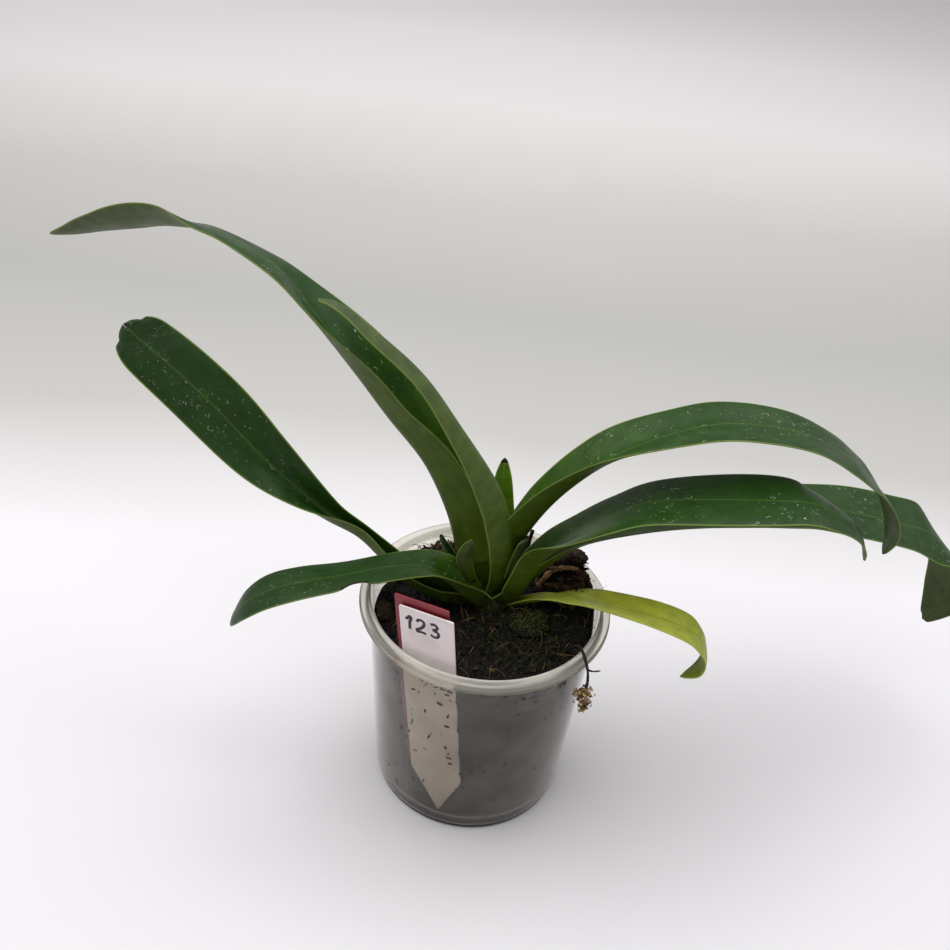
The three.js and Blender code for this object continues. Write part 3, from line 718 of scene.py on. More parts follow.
LEAVES = (
    Leaf("leaf_b_folded", 182, (
        (5, 6, 80, 8, 184, 60), (8, 6, 92, 11, 184, 55), (7, 6, 104, 12, 184, 46),
        (4, 6, 117, 12, 182, 46), (-2, 6, 130, 11, 178, 42), (-13, 5, 147, 9, 172, 34),
        (-27, 5, 166.5, 7.5, 165, 32), (-44, 4, 182, 5.5, 165, 30), (-54, 4, 189, 3.5, 165, 25),
        (-60.5, 4, 190, 1, 165, 20))),
    Leaf("leaf_e_arched", 17, (
        (5, 8, 84, 9, 30, 66), (9, 8.5, 98, 12, 34, 58), (12, 9, 107, 13, 36, 52),
        (19, 11, 119, 13, 30, 46), (29, 14, 130, 13, 22, 37), (39.5, 16, 138.5, 13, 14, 28),
        (56, 18, 147, 12.75, 8, 14), (73.5, 19.5, 152, 12.5, 2, 9), (97, 22, 150, 12, -3, 5),
        (115, 23, 142.5, 11.25, -7, 1), (124.5, 24, 135, 10, -9, 2), (132, 25, 127.5, 7.5, -5, 4),
        (138, 25.5, 118, 6.5, 0, 6), (141, 25.5, 109.5, 4.5, 0, 6), (141, 26, 100.5, 1, 0, 0)),
        scarred_tip=4),
    Leaf("leaf_f_creased", -4, (
        (7, 4, 78, 9, 0, 66), (12, 4, 83, 10, 5, 60), (15, 4, 90, 11, 12, 52),
        (20.5, 4.5, 101, 12.5, 22, 42), (28, 4, 111, 12.5, 12, 17), (38, 3, 121.5, 12.5, 6, 5),
        (50, 3, 129, 13, 2, 0), (69, 1, 134, 14, -1, 2), (90, 0, 137, 13.5, -1, 4),
        (100, -1, 138, 13, 6, -2), (109, -1, 135, 11, 8, -5), (116.5, -2, 130, 7.5, 6, 0),
        (120.5, -2, 124.5, 4.5, 0, 5), (122.5, -2, 118.5, 1, 0, 0)),
        scarred_tip=3),
    Leaf("leaf_d_short", 190, (
        (-1.5, 2, 77, 8, 0, 82), (-6.5, 1, 81, 9, 0, 84), (-11, 0.5, 86, 9, 0, 62),
        (-16, 0, 91, 9, 0, 40), (-22, 0, 94, 9, -6, 14), (-34, -1, 93, 9, -8, 2),
        (-50, -3, 88.5, 9, -7, 0), (-64, -6, 86, 9, -1, 1), (-75, -7.5, 82, 8.8, 2, -1),
        (-83, -8.7, 76, 7.5, 1, -2), (-87, -9.6, 70, 4, 0, -2), (-88.3, -10, 66.5, 1, 0, -2)),
        nicks=(Nick(0.52, -1, 3.0, 5.4),)),
    Leaf("leaf_a_long", 168, (
        (-2, 8, 80, 10, -6, 70), (-6, 9, 87, 14, -6, 70), (-11, 10, 94, 17, -5, 72),
        (-16.5, 10.5, 112, 18.5, -10, 70), (-25.5, 12, 130, 17.5, -14, 64),
        (-38, 14, 145, 15.5, -10, 57), (-49.5, 17, 159, 15.2, -5, 53), (-64, 20, 176, 13, -10, 24),
        (-76, 23, 189, 11.5, -17, 2), (-91, 26, 196, 10.5, -22, -1), (-102, 28, 198.5, 10.5, -24, 1),
        (-109, 29.5, 198.5, 10.5, -38, 8), (-119, 32, 197, 10.5, -40, 10), (-129, 34, 194, 9, -40, 9),
        (-139, 36, 190.5, 6.5, -39, 8), (-148, 38, 187, 3.5, -38, 6), (-154, 39.5, 185, 1, -36, 0))),
    Leaf("leaf_g_far", 10, (
        (10, 7, 79, 8, 5, 60), (17, 9, 88, 10, 14, 46), (24, 10, 97, 11, 14, 36),
        (34, 13.5, 103, 12.5, 14, 26), (58.5, 22, 108.5, 13.75, 9, 16), (78.5, 28.5, 110, 14, 5, 9),
        (99.5, 35, 109.5, 14, 2, 4), (116, 40.5, 108, 14.25, 0, -2), (136, 46, 102.5, 14.25, -8, 5),
        (154.5, 51, 96.5, 14.5, -10, 6), (168.5, 53.5, 92, 15, -14, -2), (179, 56, 83, 13.25, 8, -4),
        (185.5, 57, 70.5, 11.75, 26, 4), (186.5, 57.5, 59, 9.5, 38, 6), (183.5, 57, 48, 3.75, 40, 0),
        (182, 57, 45.5, 1, 40, 0))),
    Leaf("leaf_c_broad", 166, (
        (-4, 6, 74, 8, 5, 84), (-11, 7, 73.5, 9, 8, 84), (-17, 8, 74, 9, 12, 84),
        (-27.5, 10, 78, 8.5, 18, 84), (-37, 12.5, 85.5, 8, 20, 86), (-47, 17, 91.5, 7.5, 20, 95),
        (-59, 21, 95.5, 9, 28, 78), (-70, 24, 103, 10, 40, 54), (-84, 27, 114, 11, 44, 25),
        (-99, 31, 128, 11.7, 46, 3), (-112, 35, 138, 11.5, 45, 3), (-124, 38, 146.5, 10.9, 38, 8),
        (-128.5, 38.8, 150, 9.6, 37, 7), (-131.5, 39.3, 152.5, 7, 36, 5)),
        notch=3, scarred_tip=0.8),
    Leaf("leaf_h_young", -15, (
        (9, 5, 75.5, 3, 10, 50), (17, 2, 82, 4, 20, 30), (23, 0, 86, 6, 26, 6), (29, -1, 88, 8, 21, 4),
        (36, -3, 89, 8, 16, 12), (43, -5, 89, 8, 11, 19), (57, -9, 90, 8, 5, 16),
        (68, -12, 89, 8, 5, 8), (73, -13, 86, 7, 6, 3), (76.5, -14, 80.5, 6, 10, 0),
        (75.5, -14, 73.5, 4.5, 10, 0), (70.5, -13, 67.5, 1, 0, 0)),
        green=Green.YOUNG, slot="young_leaf", scarred_tip=1),
    Leaf("leaf_i_upright", 90, (
        (5.5, 11, 90, 2.5, 0, 30), (5, 14, 99, 3.2, 0, 30), (3.6, 15.5, 108, 3.7, 0, 26),
        (2.2, 16, 116, 3.9, 0, 22), (1.5, 16, 124.5, 3, 0, 15), (1.2, 16, 132, 0.8, 0, 0)),
        green=Green.FRESH, scarred_tip=3.5, columns=10),
    Leaf("leaf_k_stub", -90, (
        (-5.4, 3.6, 86, 2.4, 0, 15), (-7.4, 3.4, 91, 2.8, 0, 15), (-8.9, 3, 96.5, 2.9, 0, 15),
        (-8.2, 2.8, 101.2, 2.5, 0, 15), (-6.4, 2.8, 104.4, 1.8, 0, 10), (-4.9, 2.8, 106, 0.8, 0, 5)),
        scarred_tip=0, columns=8),
    Leaf("leaf_j_stub", 150, (
        (-11, 13, 70, 3, 0, 40), (-12, 13, 78, 3, 0, 40), (-13.9, 13, 87.4, 3, 0, 35),
        (-15.7, 13, 91.8, 2.4, 0, 30), (-17, 13, 95, 1.6, 0, 20), (-18.1, 13, 98.6, 0.8, 0, 0)),
        columns=8),
    Leaf("leaf_l_sheath", 0, (
        (8.5, 4, 90, 4, 0, 66), (9.5, 4.5, 96, 4.5, 0, 62), (11, 5, 102, 5, 0, 58),
        (12.2, 5, 108, 4.6, 0, 55)),
        scarred_tip=0, columns=10),
)


@dataclass(frozen=True)
class Crown:
    """The short stem that the leaf bases wrap, in millimetres."""

    x: float = 2.5
    y: float = 6.5
    profile: tuple[Row, ...] = (
        (0, 58), (3, 60), (5.2, 68), (6.2, 76), (5, 80), (3, 86), (1.4, 91), (0, 92))

    def build(self) -> bpy.types.Object:
        """Turns the stem and wrinkles it."""
        form = spun(filleted(self.profile, 1.5), 36)
        bmesh.ops.translate(form, verts=form.verts, vec=(self.x * MM, self.y * MM, 0))
        bmesh.ops.recalc_face_normals(form, faces=form.faces)
        # Old leaf bases, damp and stained: dull olive-brown with streaks along the stem.
        finish = LooseMatter("old_leaf_bases", "#141206", "#2b3210", "#4b5320", grain=1.4,
                             stretch=(1.0, 1.0, 0.3), roughness=0.7)
        piece = new_piece("crown_stem", form, [finish.material()])
        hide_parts("crown")
        return piece


# Pot


@dataclass(frozen=True)
class Pot:
    """The clear pot, in millimetres."""

    height: float = 82.4
    rim: float = 44.1
    rim_inner: float = 39.7
    ridge: float = 83.9
    wall_top: float = 40.3
    base: float = 34.9
    wall: float = 0.8
    floor: float = 0.9
    step: float = 7.0
    sides: int = 144

    def profile(self) -> list[Row]:
        """Radius and height from the axis under the floor, up the outside, over the rim and down inside."""
        inner_top = self.wall_top - self.wall
        inner_base = self.base - self.wall
        return [
            (0, 0), (self.base - 0.9, 0), (self.base, 0.9), (self.base + 0.4, self.step - 1),
            (self.base + 0.9, self.step), (self.wall_top, self.height - 3),
            (self.rim - 1.4, self.height - 2.2), (self.rim, self.height - 1.5),
            (self.rim, self.height - 0.5), (self.rim - 0.6, self.height),
            (self.rim - 1.5, self.height - 0.3), (self.rim - 2.6, self.height),
            (self.rim_inner + 1, self.ridge - 0.2),
            (self.rim_inner + 0.4, self.ridge), (self.rim_inner, self.ridge - 0.5),
            (inner_top, self.height - 4), (inner_base + 0.9, self.step + 0.4),
            (inner_base + 0.3, self.step - 0.6), (inner_base, self.floor + 0.8),
            (inner_base - 0.8, self.floor), (0, self.floor),
        ]

    def inner_radius(self, z: float) -> float:
        """Radius of the inner wall at a height above the step."""
        share = (z - self.step) / (self.height - 4 - self.step)
        low = self.base - self.wall + 0.9
        return low + (self.wall_top - self.wall - low) * share

    def build(self) -> bpy.types.Object:
        """Turns the pot and dresses it."""
        form = spun(filleted(self.profile(), 0.5), self.sides)
        for face in form.faces:
            middle = face.calc_center_median()
            inwards = face.normal.x * middle.x + face.normal.y * middle.y < -1e-4
            face.material_index = int(inwards and middle.z < (self.height - 4) * MM)
        # Mist on the inner wall: a thin, slightly patchy grey veil over the dark mix.
        misted = MilkyPolypropylene("misted_inner_wall", wall_clearness=0.965, mist=0.07, roughness=0.08)
        piece = new_piece("pot_shell", form, [MilkyPolypropylene().material(), misted.material()])
        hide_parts("pot")
        return piece


# Labels


@dataclass(frozen=True)
class PlantLabel:
    """A plant label with a pointed end, in millimetres and degrees."""

    node: str
    tip: Row
    finish: SheetPolystyrene
    slot: str
    width: float = 19.6
    length: float = 101
    point: float = 21
    thickness: float = 0.6
    heading: float = -22.8
    lean: float = 4.2
    tilt: float = 4.6

    def placing(self) -> Matrix:
        """Takes the label's own axes, across, along and out of its face, to its place, in millimetres."""
        return (
            Matrix.Translation(self.tip)
            @ Matrix.Rotation(math.radians(self.heading), 4, "Z")
            @ Matrix.Rotation(math.radians(90 + self.lean), 4, "X")
            @ Matrix.Rotation(math.radians(self.tilt), 4, "Z")
        )

    def covers(self, across: float, along: float, margin: float) -> bool:
        """Whether a point of the label's plane lies on it, or within a margin of it."""
        half = self.width / 2 + margin
        if along < self.point:
            half = self.width / 2 * max(along, 0) / self.point + margin
        return abs(across) < half and -margin < along < self.length

    def build(self) -> bpy.types.Object:
        """Cuts the label from sheet: an outline, extruded, with rounded corners and edges."""
        half = self.width / 2
        right = ((half, self.point), (half, self.length))
        left = ((-half, self.length), (-half, self.point))
        form = bmesh.new()
        corners = ((0, 0), *right, *left)
        face = form.faces.new([form.verts.new((x, y, -self.thickness / 2)) for x, y in corners])
        raised = bmesh.ops.extrude_face_region(form, geom=[face])["geom"]
        tops = [v for v in raised if isinstance(v, bmesh.types.BMVert)]
        bmesh.ops.translate(form, verts=tops, vec=(0, 0, self.thickness))
        posts = [e for e in form.edges if abs(e.verts[0].co.z - e.verts[1].co.z) > 0.1]
        bmesh.ops.bevel(form, geom=posts, offset=0.6, segments=4, profile=0.5, affect="EDGES", material=-1)
        sharp = [e for e in form.edges if e.calc_face_angle(0) > 1]
        bmesh.ops.bevel(form, geom=sharp, offset=0.08, segments=2, profile=0.5, affect="EDGES", material=-1)
        bmesh.ops.recalc_face_normals(form, faces=form.faces)
        bmesh.ops.transform(form, matrix=Matrix.Scale(MM, 4) @ self.placing(), verts=form.verts)
        for flat in form.faces:
            flat.smooth = False
        piece = new_piece(self.node + "_sheet", form, [self.finish.material()])
        for polygon in piece.data.polygons:
            polygon.use_smooth = False
        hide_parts(self.node)
        return piece


@dataclass(frozen=True)
class MarkerNumber:
    """A plain number written on a label by hand: strokes across and up from its lower left, in mm."""

    label: PlantLabel
    left: float = -7.6
    top: float = 4.2
    height: float = 5.0
    pen: float = 0.56
    stretch: float = 1.14
    strokes: tuple[tuple[Row, ...], ...] = (
        ((0.0, 3.6), (0.8, 4.2), (1.5, 5.0), (1.3, 2.5), (1.2, 0.0)),
        ((3.6, 3.9), (4.4, 4.8), (5.7, 4.6), (5.9, 3.5), (4.9, 1.8), (3.5, 0.2), (4.8, 0.3), (6.4, 0.1)),
        ((8.0, 4.6), (9.3, 4.9), (10.1, 4.3), (9.6, 3.1), (8.9, 2.7), (10.2, 2.1), (10.3, 0.8), (9.2, 0.0),
         (7.9, 0.5)),
    )

    def build(self) -> bpy.types.Object:
        """Draws the strokes as flat ribbons of ink on the label's face."""
        curve = bpy.data.curves.new("number_strokes", "CURVE")
        curve.dimensions = "3D"
        curve.bevel_depth, curve.bevel_resolution, curve.resolution_u = self.pen, 2, 6
        curve.use_fill_caps = True
        low = self.label.length - self.top - self.height
        for stroke in self.strokes:
            spline = curve.splines.new("BEZIER")
            spline.bezier_points.add(len(stroke) - 1)
            for knot, (x, y) in zip(spline.bezier_points, stroke):
                knot.co = (self.left + x * self.stretch, low + y * self.stretch, 0)
                knot.handle_left_type = knot.handle_right_type = "AUTO"
        drawn = bpy.data.objects.new("number_strokes", curve)
        bpy.context.scene.collection.objects.link(drawn)
        flat = bpy.data.meshes.new_from_object(drawn.evaluated_get(bpy.context.evaluated_depsgraph_get()))
        bpy.data.objects.remove(drawn)
        form = bmesh.new()
        form.from_mesh(flat)
        squeeze = Matrix.Diagonal((1, 1, 0.06, 1))
        lift = Matrix.Translation((0, 0, self.label.thickness / 2))
        placing = Matrix.Scale(MM, 4) @ self.label.placing() @ lift @ squeeze
        bmesh.ops.transform(form, matrix=placing, verts=form.verts)
        piece = new_piece("label_number", form, [MarkerInk().material()])
        return piece


WHITE_LABEL = PlantLabel(
    "label_white", (-8.6, -29.9, 3.4), SheetPolystyrene("white_polystyrene", "#e4dad8", "#cfc4c0"),
    "white_plastic")
RED_LABEL = PlantLabel(
    "label_red", (-10.4, -27.9, 6.2), SheetPolystyrene("red_polystyrene", "#801220", "#640e18"),
    "red_plastic")


# Potting mix and what lies on it


@dataclass(frozen=True)
class PottingMix:
    """The plug of bark mix that fills the pot, in millimetres."""

    pot: Pot
    level: float = 73
    clearance: float = 0.35
    ripple: float = 0.7
    rings: int = 46
    sides: int = 180
    hills: tuple[Row, ...] = (
        (3, 8, 2.5, 9), (30, 18, 14.5, 8.5), (36, 5, 7, 7), (16, -3, 1.6, 8), (-16, 8, -1.6, 8),
        (-22, 29, 4.5, 5.5), (-9, 34, 4.5, 5.5))

    def height(self, x: float, y: float) -> float:
        """Height of the mix at a point of the pot: ripples, and hills of x, y, height and spread."""
        coarse = math.sin(0.55 * x + 0.3 * y) * math.cos(0.47 * y - 0.2 * x)
        ripple = coarse + 0.6 * math.sin(1.1 * x - 0.9 * y)
        rise = sum(h * math.exp(-((x - a) ** 2 + (y - b) ** 2) / (2 * s**2)) for a, b, h, s in self.hills)
        return self.level + self.ripple * ripple + rise

    def build(self) -> bpy.types.Object:
        """Turns the plug, roughens its top and pushes it back behind the labels."""
        edge = self.pot.inner_radius(self.level) - self.clearance
        foot = self.pot.inner_radius(self.pot.step) - self.clearance
        narrow = self.pot.base - self.pot.wall - 0.8 - self.clearance
        low = self.pot.floor + self.clearance
        profile = [(0, low), (narrow * 0.5, low), (narrow, low), (narrow + 0.4, self.pot.step - 1)]
        start = self.pot.step + 1.5
        climb = 36
        for i in range(climb + 1):
            profile.append((foot + (edge - foot) * i / climb, start + (self.level - start) * i / climb))
        profile += [(edge * i / self.rings, self.level + 0.001) for i in range(self.rings - 1, -1, -1)]
        form = spun(profile, self.sides)
        for vert in form.verts:
            self.shape(vert)
        # Damp bark fines: almost black and dull, broken by coarse relief.
        finish = LooseMatter("damp_bark_mix", "#040303", "#0a0805", "#18130c", grain=2.2, roughness=0.85,
                             relief=0.9)
        piece = new_piece("potting_mix", form, [finish.material()])
        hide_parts("substrate")
        return piece

    def shape(self, vert: bmesh.types.BMVert) -> None:
        """Moves one corner of the plain plug to its place in the finished one."""
        x, y, z = vert.co / MM
        if z > self.level - 0.01:
            rough = noise.fractal(Vector((x, y, 0)) / 3.2, 1.0, 2.0, 4)
            crumb = noise.fractal(Vector((x, y, 7)) / 1.1, 1.0, 2.0, 3)
            reach = smoothstep(0, 2, self.pot.inner_radius(self.level) - math.hypot(x, y))
            z = self.height(x, y) + reach * (0.9 * rough + 0.45 * crumb)
        elif z > self.pot.step:
            bump = noise.noise(Vector((x, y, z)) / 2.5)
            x, y = x * (1 - 0.006 * abs(bump)), y * (1 - 0.006 * abs(bump))
        place = Vector((x, y, z))
        back = RED_LABEL.placing()
        own = back.inverted() @ place
        rear = -RED_LABEL.thickness / 2 - self.clearance
        if RED_LABEL.covers(own.x - 0.9, own.y + 1.5, 1.6) and own.z > rear:
            own.z = rear
            place = back @ own
        vert.co = place * MM


@dataclass
class Litter:
    """Hundreds of small bits on the mix: chips, needles and fibres, each with a tone of its own.

    shapes is how many different bits each kind has, and wall_bite how deep crumbs sit in the pot's wall.
    """

    mix: PottingMix
    seed: int = 4
    shapes: int = 16
    wall_bite: float = 0.3
    draw: random.Random = field(init=False)

    def __post_init__(self) -> None:
        """Starts the repeatable random numbers."""
        self.draw = random.Random(self.seed)

    def spot(self, inside: Callable[[float, float], bool]) -> Vector:
        """A random point on the mix that a test accepts."""
        edge = self.mix.pot.inner_radius(self.mix.level) - 1.6
        while True:
            x, y = self.draw.uniform(-edge, edge), self.draw.uniform(-edge, edge)
            if math.hypot(x, y) < edge and inside(x, y):
                return Vector((x, y, self.mix.height(x, y)))

    def turn(self, lean: float) -> Matrix:
        """A random heading and a lean of at most so many degrees."""
        tip = math.radians(self.draw.uniform(-lean, lean))
        roll = math.radians(self.draw.uniform(-lean, lean))
        heading = self.draw.uniform(0, math.tau)
        leant = Matrix.Rotation(tip, 4, "X") @ Matrix.Rotation(roll, 4, "Y")
        return Matrix.Rotation(heading, 4, "Z") @ leant

    def flake(self) -> bmesh.types.BMesh:
        """A flake of bark of half length 1, broken and thin."""
        bit = bmesh.new()
        shape = Matrix.Diagonal((1, self.draw.uniform(0.12, 0.32), self.draw.uniform(0.06, 0.16), 1))
        bmesh.ops.create_icosphere(bit, subdivisions=1, radius=1, matrix=shape)
        for vert in bit.verts:
            vert.co += Vector(self.draw.uniform(-0.18, 0.18) * share for share in (1, 0.6, 0.4))
        return bit

    def strand(self, bend: tuple[float, float], thick: tuple[float, float],
               sweep: tuple[float, float]) -> bmesh.types.BMesh:
        """A thin bowed fibre that starts at the origin."""
        bit = bmesh.new()
        radius = self.draw.uniform(*bend)
        start = Matrix.Translation((radius, 0, 0)) @ Matrix.Rotation(math.pi / 2, 4, "X")
        bmesh.ops.create_circle(
            bit, cap_ends=True, radius=self.draw.uniform(*thick), segments=4, matrix=start)
        bmesh.ops.spin(bit, geom=bit.faces[:], axis=(0, 0, 1), steps=6,
                       angle=math.radians(self.draw.uniform(*sweep)))
        bmesh.ops.recalc_face_normals(bit, faces=bit.faces)
        bmesh.ops.translate(bit, verts=bit.verts, vec=(-radius, 0, 0))
        return bit

    def chips(self, name: str, count: int, size: tuple[float, float],
              inside: Callable[[float, float], bool], finish: LooseMatter,
              lift: float = 0.3) -> bpy.types.Object:
        """Scatters broken flakes.

        Args:
            name: the piece's name.
            count: how many flakes.
            size: the least and the greatest length, in millimetres.
            inside: says where they may lie.
            finish: their finish.
            lift: how far their middles stand above the mix, in millimetres.

        Returns:
            One object with all of them.
        """
        form = toned_form()
        flakes = [self.flake() for _ in range(self.shapes)]
        for _ in range(count):
            long = self.draw.uniform(*size)
            place = Matrix.Translation(self.spot(inside) + Vector((0, 0, lift))) @ self.turn(38)
            absorb(form, self.draw.choice(flakes), place @ Matrix.Scale(long / 2, 4), self.draw.random())
        bmesh.ops.scale(form, vec=(MM, MM, MM), verts=form.verts)
        piece = new_piece(name, form, [finish.material()])
        return piece

    def fibres(self, name: str, count: int, bend: tuple[float, float], thick: tuple[float, float],
               inside: Callable[[float, float], bool], finish: LooseMatter,
               sweep: tuple[float, float] = (40, 130)) -> bpy.types.Object:
        """Scatters thin bowed fibres.

        Args:
            name: the piece's name.
            count: how many fibres.
            bend: the least and the greatest radius of their bow, in millimetres.
            thick: the least and the greatest radius of the fibre, in millimetres.
            inside: says where they may lie.
            finish: their finish.
            sweep: the least and the greatest angle of their bow, in degrees.

        Returns:
            One object with all of them.
        """
        form = toned_form()
        strands = [self.strand(bend, thick, sweep) for _ in range(self.shapes)]
        for _ in range(count):
            upright = Matrix.Rotation(math.radians(self.draw.uniform(15, 100)), 4, "X")
            place = Matrix.Translation(self.spot(inside)) @ self.turn(25) @ upright
            absorb(form, self.draw.choice(strands), place, self.draw.random())
        bmesh.ops.scale(form, vec=(MM, MM, MM), verts=form.verts)
        bmesh.ops.recalc_face_normals(form, faces=form.faces)
        piece = new_piece(name, form, [finish.material()])
        return piece

    def wall_crumbs(self, count: int) -> bpy.types.Object:
        """Scatters dark crumbs of moss and soil that stick to the inside of the pot's wall."""
        form = toned_form()
        flakes = [self.flake() for _ in range(self.shapes)]
        pot = self.mix.pot
        lowest = pot.step + 2
        spread = self.mix.level + 3 - pot.step
        for _ in range(count):
            z = lowest + spread * self.draw.random() ** 0.7
            angle = self.draw.uniform(0, math.tau)
            long = self.draw.uniform(0.5, 1.5)
            reach = pot.inner_radius(z) + self.wall_bite
            out = Matrix.Rotation(angle, 4, "Z") @ Matrix.Translation((reach, 0, z))
            turned_by = Matrix.Rotation(self.draw.uniform(0, math.pi), 4, "X")
            flat = turned_by @ Matrix.Rotation(math.pi / 2, 4, "Z")
            size = Matrix.Diagonal((long, long * 1.4, 0.1, 1))
            turned = out @ flat @ Matrix.Rotation(math.pi / 2, 4, "X")
            absorb(form, self.draw.choice(flakes), turned @ size, self.draw.random())
        bmesh.ops.scale(form, vec=(MM, MM, MM), verts=form.verts)
        # Wet moss and soil: dark green to dark brown crumbs.
        finish = LooseMatter("wall_crumb_matter", "#0d1008", "#1f2410", "#3d3418", grain=0.7, by_bit=True)
        piece = new_piece("wall_crumbs", form, [finish.material()])
        return piece


def broken_lump(form: bmesh.types.BMesh, half: Row, place: Matrix, seed: int, rough: float) -> None:
    """Adds an uneven lump, its surface broken by noise.

    Args:
        form: what it is added to.
        half: its half sizes, in millimetres.
        place: its place and turn, in millimetres.
        seed: moves the noise.
        rough: depth of the breaks as a share of its size.
    """
    lump = bmesh.ops.create_icosphere(form, subdivisions=4, radius=1)["verts"]
    shift = Vector((seed * 3.7, seed * 1.3, 0))
    size = Matrix.Diagonal((*half, 1))
    for vert in lump:
        coarse = noise.noise(vert.co * 1.3 + shift)
        fine = noise.fractal(vert.co * 4 + shift, 1.0, 2.0, 3)
        vert.co *= 1 + rough * coarse + 0.35 * rough * fine
    bmesh.ops.transform(form, matrix=place @ size, verts=lump)


@dataclass(frozen=True)
class BarkChip:
    """A chip of conifer bark, its middle and half sizes in millimetres, its turn about Z in degrees."""

    node: str
    at: Row
    half: Row
    turn: float

    def build(self) -> bpy.types.Object:
        """Models the chip, weathered and split along its grain."""
        form = bmesh.new()
        place = Matrix.Translation(self.at) @ Matrix.Rotation(math.radians(self.turn), 4, "Z")
        broken_lump(form, self.half, place, len(self.node) + int(self.at[0]), 0.3)
        bmesh.ops.scale(form, vec=(MM, MM, MM), verts=form.verts)
        # Weathered conifer bark: dark brown with lighter layers, one above the other.
        finish = LooseMatter("conifer_bark", "#120a05", "#2c1c10", "#57402a", grain=1.6, relief=0.9,
                             stretch=(1.0, 1.0, 2.6))
        piece = new_piece(self.node + "_weathered", form, [finish.material()])
        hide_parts(self.node)
        return piece


CHIPS = (
    BarkChip("bark_chip_1", (29, 22, 86.5), (7, 4.5, 2.6), 20),
    BarkChip("bark_chip_2", (33, 11, 83.5), (4.4, 3.4, 2.6), -50),
    BarkChip("bark_chip_3", (19, 24, 80), (5.5, 3.4, 2), 60),
    BarkChip("bark_chip_4", (24, 9, 80.2), (4.2, 3, 1.8), 10),
    BarkChip("bark_chip_5", (-18.5, 27.5, 75), (5, 3.2, 2.4), -20),
    BarkChip("bark_chip_6", (-34.5, -5, 76), (3, 3.6, 4.4), 15),
    BarkChip("bark_chip_7", (-7, 33, 74.6), (5.5, 3, 2), 5),
)


@dataclass(frozen=True)
class Rod:
    """A root, stick or twig along points, in millimetres, thinner towards its end."""

    name: str
    points: tuple[Row, ...]
    radius: float
    end_share: float = 0.6
    knots: float = 0.15

    def add_to(self, form: bmesh.types.BMesh, sides: int = 8, steps: int = 36) -> None:
        """Adds the rod to a bmesh: a ring, carried and extruded along the curve, closed at both ends."""
        ring: list[bmesh.types.BMEdge] = []
        for i in range(steps + 1):
            share = i / steps
            centre = Vector(catmull(self.points, share))
            ahead = Vector(catmull(self.points, share + 0.01)) - Vector(catmull(self.points, share - 0.01))
            turn = ahead.normalized().to_track_quat("Z", "Y").to_matrix().to_4x4()
            size = self.radius * (1 - (1 - self.end_share) * share)
            size *= 1 + self.knots * noise.noise(centre / 1.5)
            place = Matrix.Translation(centre) @ turn
            circle = bmesh.ops.create_circle(
                form, cap_ends=i in (0, steps), radius=size, segments=sides, matrix=place)["verts"]
            edges = list({e for v in circle for e in v.link_edges})
            if ring:
                bmesh.ops.bridge_loops(form, edges=ring + edges)
            ring = edges

    def build(self, finish: LooseMatter, node: str, slot: str) -> bpy.types.Object:
        """Models the rod as a piece that stands for a node."""
        form = bmesh.new()
        self.add_to(form)
        bmesh.ops.recalc_face_normals(form, faces=form.faces)
        bmesh.ops.scale(form, vec=(MM, MM, MM), verts=form.verts)
        piece = new_piece(self.name, form, [finish.material()])
        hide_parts(node)
        return piece


@dataclass(frozen=True)
class MossCushion:
    """The cushion of moss beside the crown: a low hummock covered in short shoots.

    Sizes are in millimetres; lean is how far a shoot tips at most, in radians.
    """

    mix: PottingMix
    centre: Row = (16, -3.5)
    half: Row = (7.2, 6.8, 2.6)
    lumps: int = 9
    shoots: int = 900
    lean: float = 0.9

    def build(self) -> bpy.types.Object:
        """Models the hummock and its shoots as one piece."""
        draw = random.Random(5)
        x, y = self.centre
        base = self.mix.height(x, y) + 0.2
        form = toned_form()
        tone = form.verts.layers.float["tone"]
        hummock = Matrix.Translation((x, y, base)) @ Matrix.Diagonal((*self.half, 1))
        bmesh.ops.create_icosphere(form, subdivisions=3, radius=1, matrix=hummock)
        for i in range(self.lumps):
            angle, reach = 2.4 * i, 0.62 * math.sqrt((i + 0.5) / self.lumps)
            place = Matrix.Translation((x + self.half[0] * reach * math.cos(angle),
                                        y + self.half[1] * reach * math.sin(angle), base + 0.8))
            size = draw.uniform(2.0, 2.8)
            bmesh.ops.create_icosphere(form, subdivisions=3, radius=size, matrix=place)
        for vert in form.verts:
            vert.co.z += 0.5 * noise.fractal(vert.co / 1.6, 1.0, 2.0, 3)
            vert[tone] = 0.25
        roots = [v.co.copy() for v in form.verts if v.co.z > base]
        shoot = bmesh.new()
        bmesh.ops.create_cone(shoot, cap_ends=True, segments=4, radius1=0.24, radius2=0.03, depth=1,
                              matrix=Matrix.Translation((0, 0, 0.4)))
        for _ in range(self.shoots):
            tip, roll = draw.uniform(-self.lean, self.lean), draw.uniform(-self.lean, self.lean)
            leant = Matrix.Rotation(tip, 4, "X") @ Matrix.Rotation(roll, 4, "Y")
            tall = Matrix.Diagonal((1, 1, draw.uniform(0.7, 1.6), 1))
            place = Matrix.Translation(draw.choice(roots)) @ leant @ tall
            absorb(form, shoot, place, draw.uniform(0.3, 1.0))
        bmesh.ops.scale(form, vec=(MM, MM, MM), verts=form.verts)
        # Living moss: yellow-green shoots over a darker base, with hardly any gloss.
        finish = LooseMatter("living_moss", "#0e1204", "#262c08", "#585c1a", grain=1.0, relief=0.4,
                             by_bit=True)
        piece = new_piece("moss_shoots", form, [finish.material()])
        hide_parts("moss_patch")
        return piece


